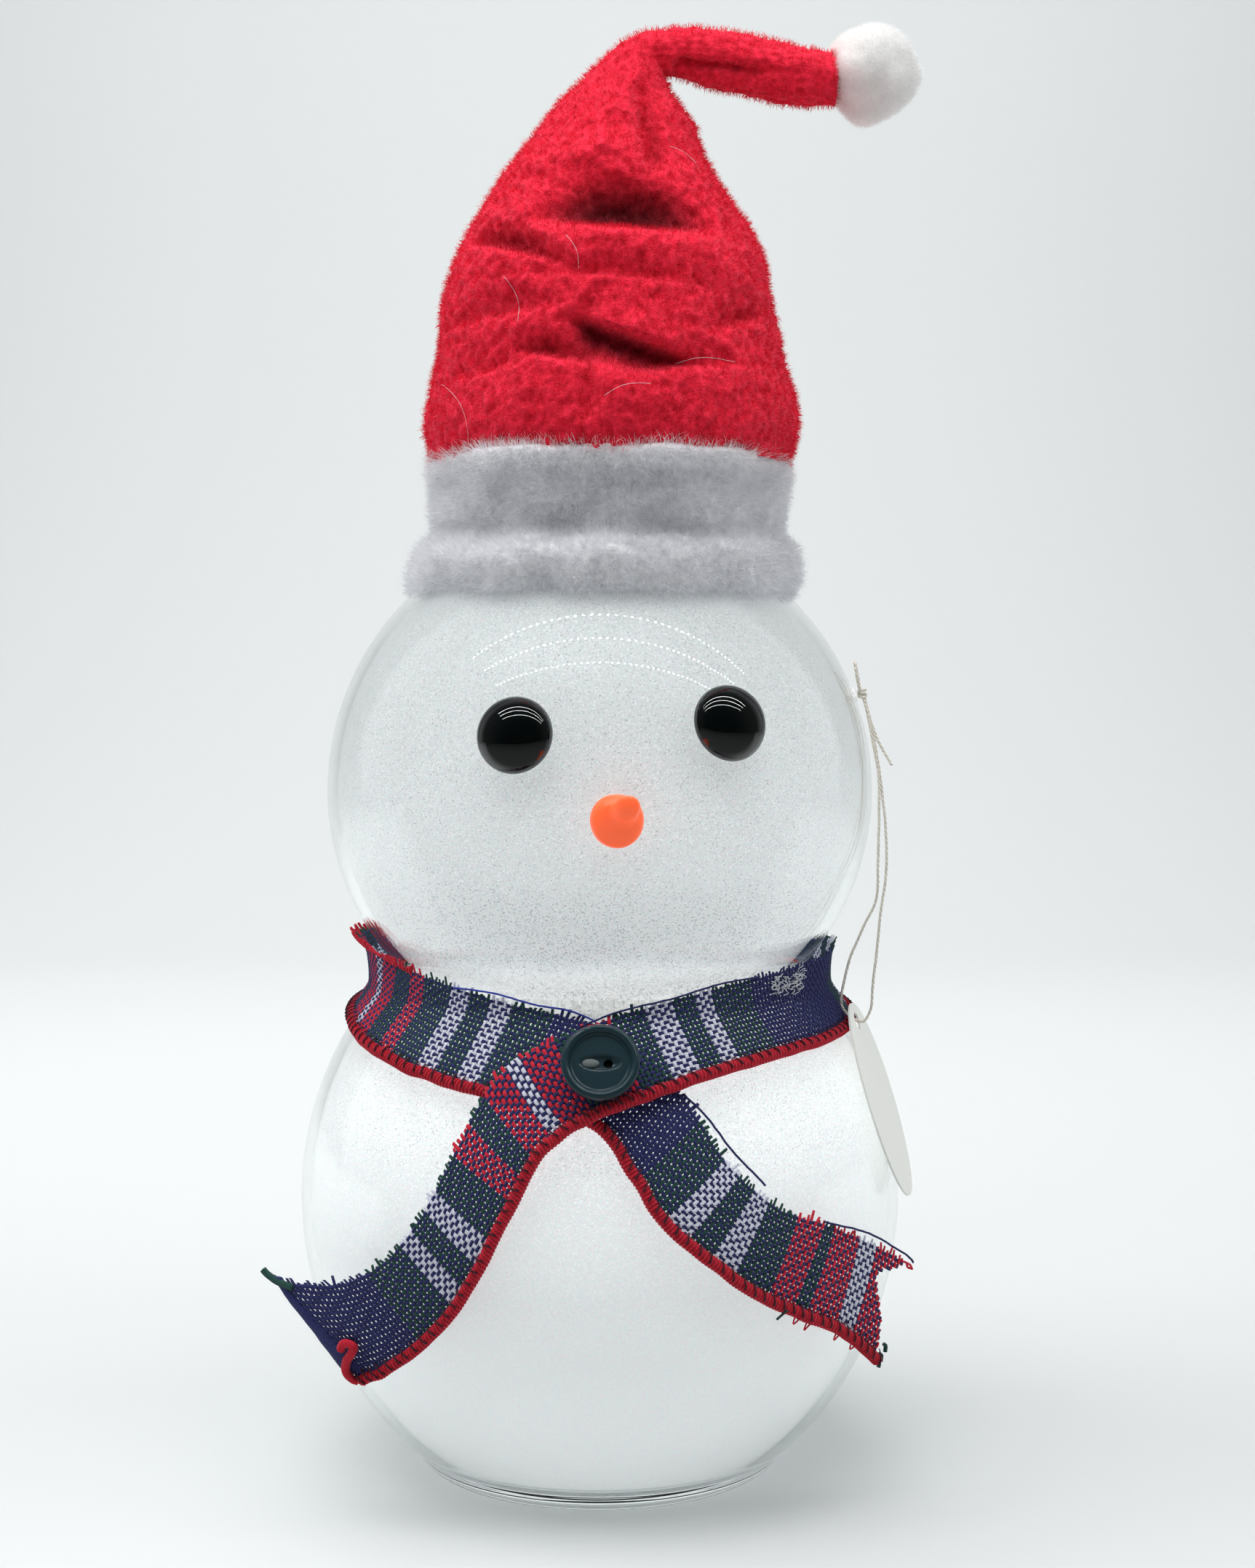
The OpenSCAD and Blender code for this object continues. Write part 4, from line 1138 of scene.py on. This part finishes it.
def make_stuffing():
    """Fill inside the hat, which follows the dents of the fleece."""
    grid, out = hat_grid(np.linspace(0.9, 8.4, 60), 90, FLEECE_GAP)
    grid = grid + out * (0.5 * lumps(grid, 12, 17) - hat_sag(grid + FLEECE_GAP * out) * 1.05)[..., None]
    shape = Shape()
    shape.capped(grid)
    settle(shape.make("hat_fill", [FILL]), "hat", "polyester_fill", "hat_stuffing")


TRIM_X = 2.2
PLUSH_BLADES = 65000


def make_trim():
    """Plush band with a roll along its lower edge."""
    profile = curve([[40.5, 256.2], [42.8, 257], [44.2, 253], [44.2, 247], [43.7, 241], [43.5, 237],
                     [46.3, 234.8], [49.0, 231.5], [49.6, 227], [48.7, 223.2], [46.4, 221.4], [44.4, 222.4],
                     [44.6, 227], [41.5, 232], [40.5, 244], [40.5, 256.2]], 7)[:-1]
    grid = turned(profile, 420)
    out = unit(grid * [1, 1, 0])
    low = smoothstep((236 - grid[..., 2]) / 6)
    band = 1 - low
    outer = smoothstep((np.hypot(grid[..., 0], grid[..., 1]) - 42) / 2)
    push = 2.4 * lumps(grid, 15, 3) + 0.9 * lumps(grid, 6.5, 7) + 0.5 * lumps(grid, 2.4, 9)
    grid = grid + out * (push * outer - 2.6 * low * smoothstep(grid[..., 0] / 48))[..., None]
    around = grid * [1, 1, 0]
    grid[..., 2] += low * 1.5 * lumps(around, 13, 12) + band * 1.6 * lumps(around, 15, 13)
    lap = smoothstep((grid[..., 2] - 249) / 6) * smoothstep(-grid[..., 1] / 22)
    grid = grid + (out * 3.0 + np.array([0, 0, 1.4])) * (lap * outer)[..., None]
    grid[..., 0] += TRIM_X
    shape = Shape()
    shape.grid(grid, wrap_rows=True, wrap_columns=True, flip=True)
    trim = shape.make("plush_trim", [WHITE_PLUSH])
    settle(trim, "hat", "white_plush", "hat_trim")
    for name, length, comb, seed in (("plush_fuzz", 2.2, -0.15, 22), ("plush_fuzz_long", 3.4, 0.1, 24)):
        fuzz = fibres(name, trim, PLUSH_FUZZ, PLUSH_BLADES, length, 0.13, 0.8, (0, 0, comb), seed=seed)
        settle(fuzz, "hat", "white_plush")


def make_pompom():
    """Ball of cotton wool pinched to a point below and a knob on the right."""
    low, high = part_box("pompom")
    centre = np.array([(low.x + high.x) / 2 - 0.0013, 0, (low.z + high.z) / 2 + 0.0008]) / MM
    r = (high.z - low.z) / 2 / MM
    turn = np.linspace(0.02, np.pi - 0.02, 90)[:, None]
    angle = np.linspace(0, 2 * np.pi, 150, endpoint=False)
    way = np.stack([np.sin(turn) * np.cos(angle), np.sin(turn) * np.sin(angle), np.cos(turn) + 0 * angle], -1)
    size = np.full(way.shape[:2], r * 0.92)
    size += 1.2 * lumps(way, 0.7, 14) + 0.3 * lumps(way, 0.3, 15)
    size += 1.6 * np.exp((way @ unit(np.array([-0.25, 0, -1.0])) - 1) * 22)
    size += 1.2 * np.exp((way @ unit(np.array([1, -0.1, -0.05])) - 1) * 30)
    shape = Shape()
    shape.capped(centre + way * size[..., None], flip=True)
    ball = weld(shape.make("cotton_ball", [COTTON]))
    settle(ball, "hat_tip", "cotton", "pompom")
    fuzz = fibres("cotton_fuzz", ball, COTTON_FUZZ, 26000, 1.9, 0.08, 1.2, seed=23)
    settle(fuzz, "hat_tip", "cotton")


# ---- Twine and tag ---------------------------------------------------------------------

TWINE_POINTS = [
    [79.5, 67, 197.6], [79.4, 68.3, 194], [78.6, 69.9, 186.5], [77.8, 71.7, 177],
    [76.8, 72, 165.5], [76, 71.9, 156], [75.2, 71.7, 146], [74.6, 68.6, 139],
    [74.2, 65.4, 131], [73.8, 63.7, 124], [73.5, 63.4, 119.6], [73.2, 65, 117],
    [73, 67.3, 115.5], [73, 69.4, 115.6], [73.2, 71, 119], [73.6, 71.3, 124.5],
    [74.4, 72, 132.5], [75.4, 73, 144], [76.3, 74, 153.5], [77, 73.7, 163],
    [77.6, 73, 170], [78.8, 71.3, 181], [79.8, 69.6, 190], [80.5, 67.4, 197.6]]
TWINE_R = 0.44
KNOT_AZ, KNOT_OUT, KNOT_Z = 80.0, 66.9, 197.6


def twist(shape, path, radius, pitch=2.6):
    """Two plies wound round each other along a path."""
    across, up = frames(path, (0, 0.3, 0.1))
    for phase in (0, np.pi):
        coil(shape, path, across, up, radius * 0.5, radius * 0.5, pitch, 0, phase)


def along_places(places, steps=14):
    rows = curve(places, steps)
    return polar(rows[:, 0], rows[:, 1], rows[:, 2])


def make_twine():
    shape = Shape()
    path = along_places(TWINE_POINTS)
    path = path + 0.12 * np.stack([lumps(path, 5, k) for k in (31, 32, 33)], -1)
    twist(shape, path, TWINE_R)
    free_end = [[81.4, 67.6, 197.4], [81.2, 69.2, 191], [80.8, 71.6, 185], [80.4, 74.8, 179.4]]
    twist(shape, along_places(free_end), TWINE_R)
    a = np.radians(np.linspace(-165, 165, 60))
    loop = polar(KNOT_AZ + 1.9 * np.sin(a), KNOT_OUT - 0.9 - 0.7 * np.cos(a), KNOT_Z + 4.4 + 3.6 * np.cos(a))
    twist(shape, loop, TWINE_R)
    centre = polar(KNOT_AZ, KNOT_OUT + 0.3, KNOT_Z)
    a = np.linspace(0, 2 * np.pi, 60)
    for k, (tip, high) in enumerate([(0.3, -0.7), (-0.3, 0.0), (0.25, 0.7)]):
        ring = np.stack([0.95 * np.cos(a), 0.95 * np.sin(a), high + tip * np.sin(a + k)], -1)
        twist(shape, centre + ring, TWINE_R)
    settle(shape.make("twine", [TWINE]), "tag_string", "jute_twine", "tag_twine")


TAG_AZ, TAG_HOLE_OUT, TAG_HOLE_Z, TAG_LEAN = 73.0, 67.3, 115.4, 17.7
TAG_LENGTH, TAG_W, TAG_T, HOLE_R, HOLE_INSET = 50.0, 29.0, 0.5, 2.2, 4.6


def make_tag():
    """Oval card with a hole near its upper end, bowed a little along its length."""
    a = np.linspace(0, 2 * np.pi, 120, endpoint=False)
    rim = np.stack([TAG_W / 2 * np.sin(a), HOLE_INSET - TAG_LENGTH / 2 + TAG_LENGTH / 2 * np.cos(a)], -1)
    hole = np.stack([HOLE_R * np.sin(a), HOLE_R * np.cos(a)], -1)
    t = np.linspace(0, 1, 14)[:, None, None] ** 1.4
    flat = hole + (rim - hole) * t
    bow = -0.5 * (flat[..., 1] / TAG_LENGTH) * (1 + flat[..., 1] / TAG_LENGTH)
    azimuth, lean = math.radians(TAG_AZ), math.radians(TAG_LEAN)
    out = np.array([math.sin(azimuth), -math.cos(azimuth), 0])
    across = np.array([math.cos(azimuth), math.sin(azimuth), 0])
    up = np.array([0, 0, math.cos(lean)]) - out * math.sin(lean)
    normal = np.cross(across, up)
    middle = polar(TAG_AZ, TAG_HOLE_OUT, TAG_HOLE_Z)
    face = middle + flat[..., :1] * across + flat[..., 1:] * up + bow[..., None] * normal
    front, rear = face + normal * TAG_T / 2, face - normal * TAG_T / 2
    shape = Shape()
    shape.grid(np.vstack([front, rear[::-1]]), wrap_rows=True, wrap_columns=True)
    settle(shape.make("tag_oval", [CARD], smooth=False), "tag", "tag_card", "price_tag")


# ---- Stage -------------------------------------------------------------------------------

def area_light(name, place, target, size, power):
    """Soft lamp in metres and watts that doesn't show in shiny parts or through the glass."""
    light = bpy.data.lights.new(name, "AREA")
    light.shape = "RECTANGLE"
    light.size, light.size_y = size
    light.energy = power
    lamp = bpy.data.objects.new(name, light)
    lamp.location = place
    lamp.rotation_euler = (Vector(target) - Vector(place)).to_track_quat("-Z", "Y").to_euler()
    lamp.visible_glossy = False
    lamp.visible_transmission = False
    bpy.context.scene.collection.objects.link(lamp)


def make_stage():
    """A pale sweep: floor that curves up into a backdrop. Its front hardly shows in shiny parts."""
    s = Shader("pale_sweep")
    y = s.add("SeparateXYZ", {"Vector": s.add("TexCoord")["Object"]})["Y"]
    unseen = s.math("MULTIPLY", s.add("LightPath")["Is Glossy Ray"], s.fade(y, 0.0, -0.12))
    cloth = s.principled((0.65, 0.668, 0.67), 0.9)
    dark = s.add("BsdfDiffuse", {"Color": (0.03, 0.03, 0.03, 1)})["BSDF"]
    sweep_material = s.finish(s.mix(s.math("MULTIPLY", unseen, 0.8), cloth, dark))
    arc = np.radians(np.linspace(0, 90, 24))
    line = np.vstack([[[-2500, 0]], np.stack([900 + 700 * np.sin(arc), 700 - 700 * np.cos(arc)], -1),
                      [[1600, 3200]]])
    x = np.array([-2600, 2600.0])
    grid = np.stack([np.repeat(x[None], len(line), 0), np.repeat(line[:, :1], 2, 1),
                     np.repeat(line[:, 1:], 2, 1)], -1)
    shape = Shape()
    shape.grid(grid, flip=True)
    floor = shape.make("sweep", [sweep_material])


def make_led_rows():
    """Rows of small lamps over the front, which show as dotted arcs on the glass."""
    s = Shader("led")
    led = s.finish(s.add("Emission", {"Color": (0.95, 1, 1, 1), "Strength": 100.0})["Emission"])
    shape = Shape()
    for y in (-100.0, -170.0, -250.0):
        for x in np.arange(-300.0, 391.0, 15.0):
            corner = np.array([[-2.2, -2.2, 0], [-2.2, 2.2, 0], [2.2, 2.2, 0], [2.2, -2.2, 0]])
            shape.add(corner + [x, y, 500], [[0, 1, 2, 3]])
    lamps = shape.make("led_rows", [led], smooth=False)
    lamps.visible_camera = False
    lamps.visible_diffuse = False
    lamps.visible_shadow = False
    lamps.visible_transmission = False


def soft_box():
    """Surroundings of a light box: pale at the back, sides and top, dark towards the camera."""
    world = bpy.data.worlds.new("soft_box")
    s = Shader("soft_box", world)
    way = s.add("SeparateXYZ", {"Vector": s.add("TexCoord")["Generated"]})
    side = s.add("MapRange", {"Value": way["Y"], "From Min": -0.75, "From Max": -0.1,
                              "To Min": 0.03, "To Max": 0.63})["Result"]
    shine = s.add("LightPath")["Is Glossy Ray"]
    towards_camera = s.math("MULTIPLY", s.fade(way["Y"], 0.6, 0.1), 0.9)
    dim = s.math("SUBTRACT", 1.0, s.math("MULTIPLY", shine, towards_camera))
    strength = s.math("MULTIPLY", side, dim)
    light = s.add("Background", {"Color": (0.955, 0.985, 1.0, 1), "Strength": strength})["Background"]
    s.add("OutputWorld", {"Surface": light})
    return world


def set_light():
    scene = bpy.context.scene
    scene.world = soft_box()
    area_light("top", (-0.1, -0.05, 1.2), (0, 0, 0.2), (1.1, 0.8), 9)
    area_light("led_bar", (0.04, -0.19, 0.5), (0.03, -0.12, 0.25), (0.7, 0.2), 0.95)
    area_light("left", (-1.0, 0.0, 1.1), (0, 0, 0.25), (0.9, 1.0), 6.2)
    area_light("right", (1.2, -0.1, 0.8), (0, 0, 0.2), (0.9, 1.1), 2.5)
    area_light("backdrop", (0, 0.25, 1.15), (0, 1.6, 0.9), (2.0, 0.5), 18.5)
    scene.view_settings.view_transform = "Standard"
    scene.view_settings.look = "None"
    scene.cycles.max_bounces = 16
    scene.cycles.transmission_bounces = 12
    scene.cycles.transparent_max_bounces = 24
    scene.cycles.glossy_bounces = 6
    scene.cycles.diffuse_bounces = 8
    scene.cycles.caustics_reflective = False
    scene.cycles.caustics_refractive = False


CAMERA_PLACE = (0, -0.5719, 0.2098)
CAMERA_DOWN, CAMERA_TURN = 3.59, -0.71
LENS_MM, SENSOR_MM = 50.93, 36


def make_camera():
    """Camera fitted to the curve of the foot in the photo."""
    lens = bpy.data.cameras.new("camera")
    lens.lens = LENS_MM
    lens.sensor_width = SENSOR_MM
    camera = bpy.data.objects.new("camera", lens)
    camera.location = CAMERA_PLACE
    camera.rotation_euler = (math.radians(90 - CAMERA_DOWN), 0, math.radians(CAMERA_TURN))
    bpy.context.scene.collection.objects.link(camera)
    bpy.context.scene.camera = camera


keep_hidden_nodes()
make_body_bowl()
make_head_bowl()
make_lining("glitter_body", "body_glitter", body_bowl, BODY_FLOOR + 1.5, HEAD_BASE_Z)
make_lining("glitter_head", "head_glitter", head_bowl, HEAD_BASE_Z + HEAD_FLOOR + 1, HEAD_MOUTH_Z - 4)
make_neck_glue()
make_glue_film()
make_eye("left")
make_eye("right")
make_nose()
make_scarf()
make_loose_threads()
make_button()
make_hat()
make_stuffing()
make_trim()
make_pompom()
make_twine()
make_tag()
make_stage()
make_led_rows()
set_light()
make_camera()
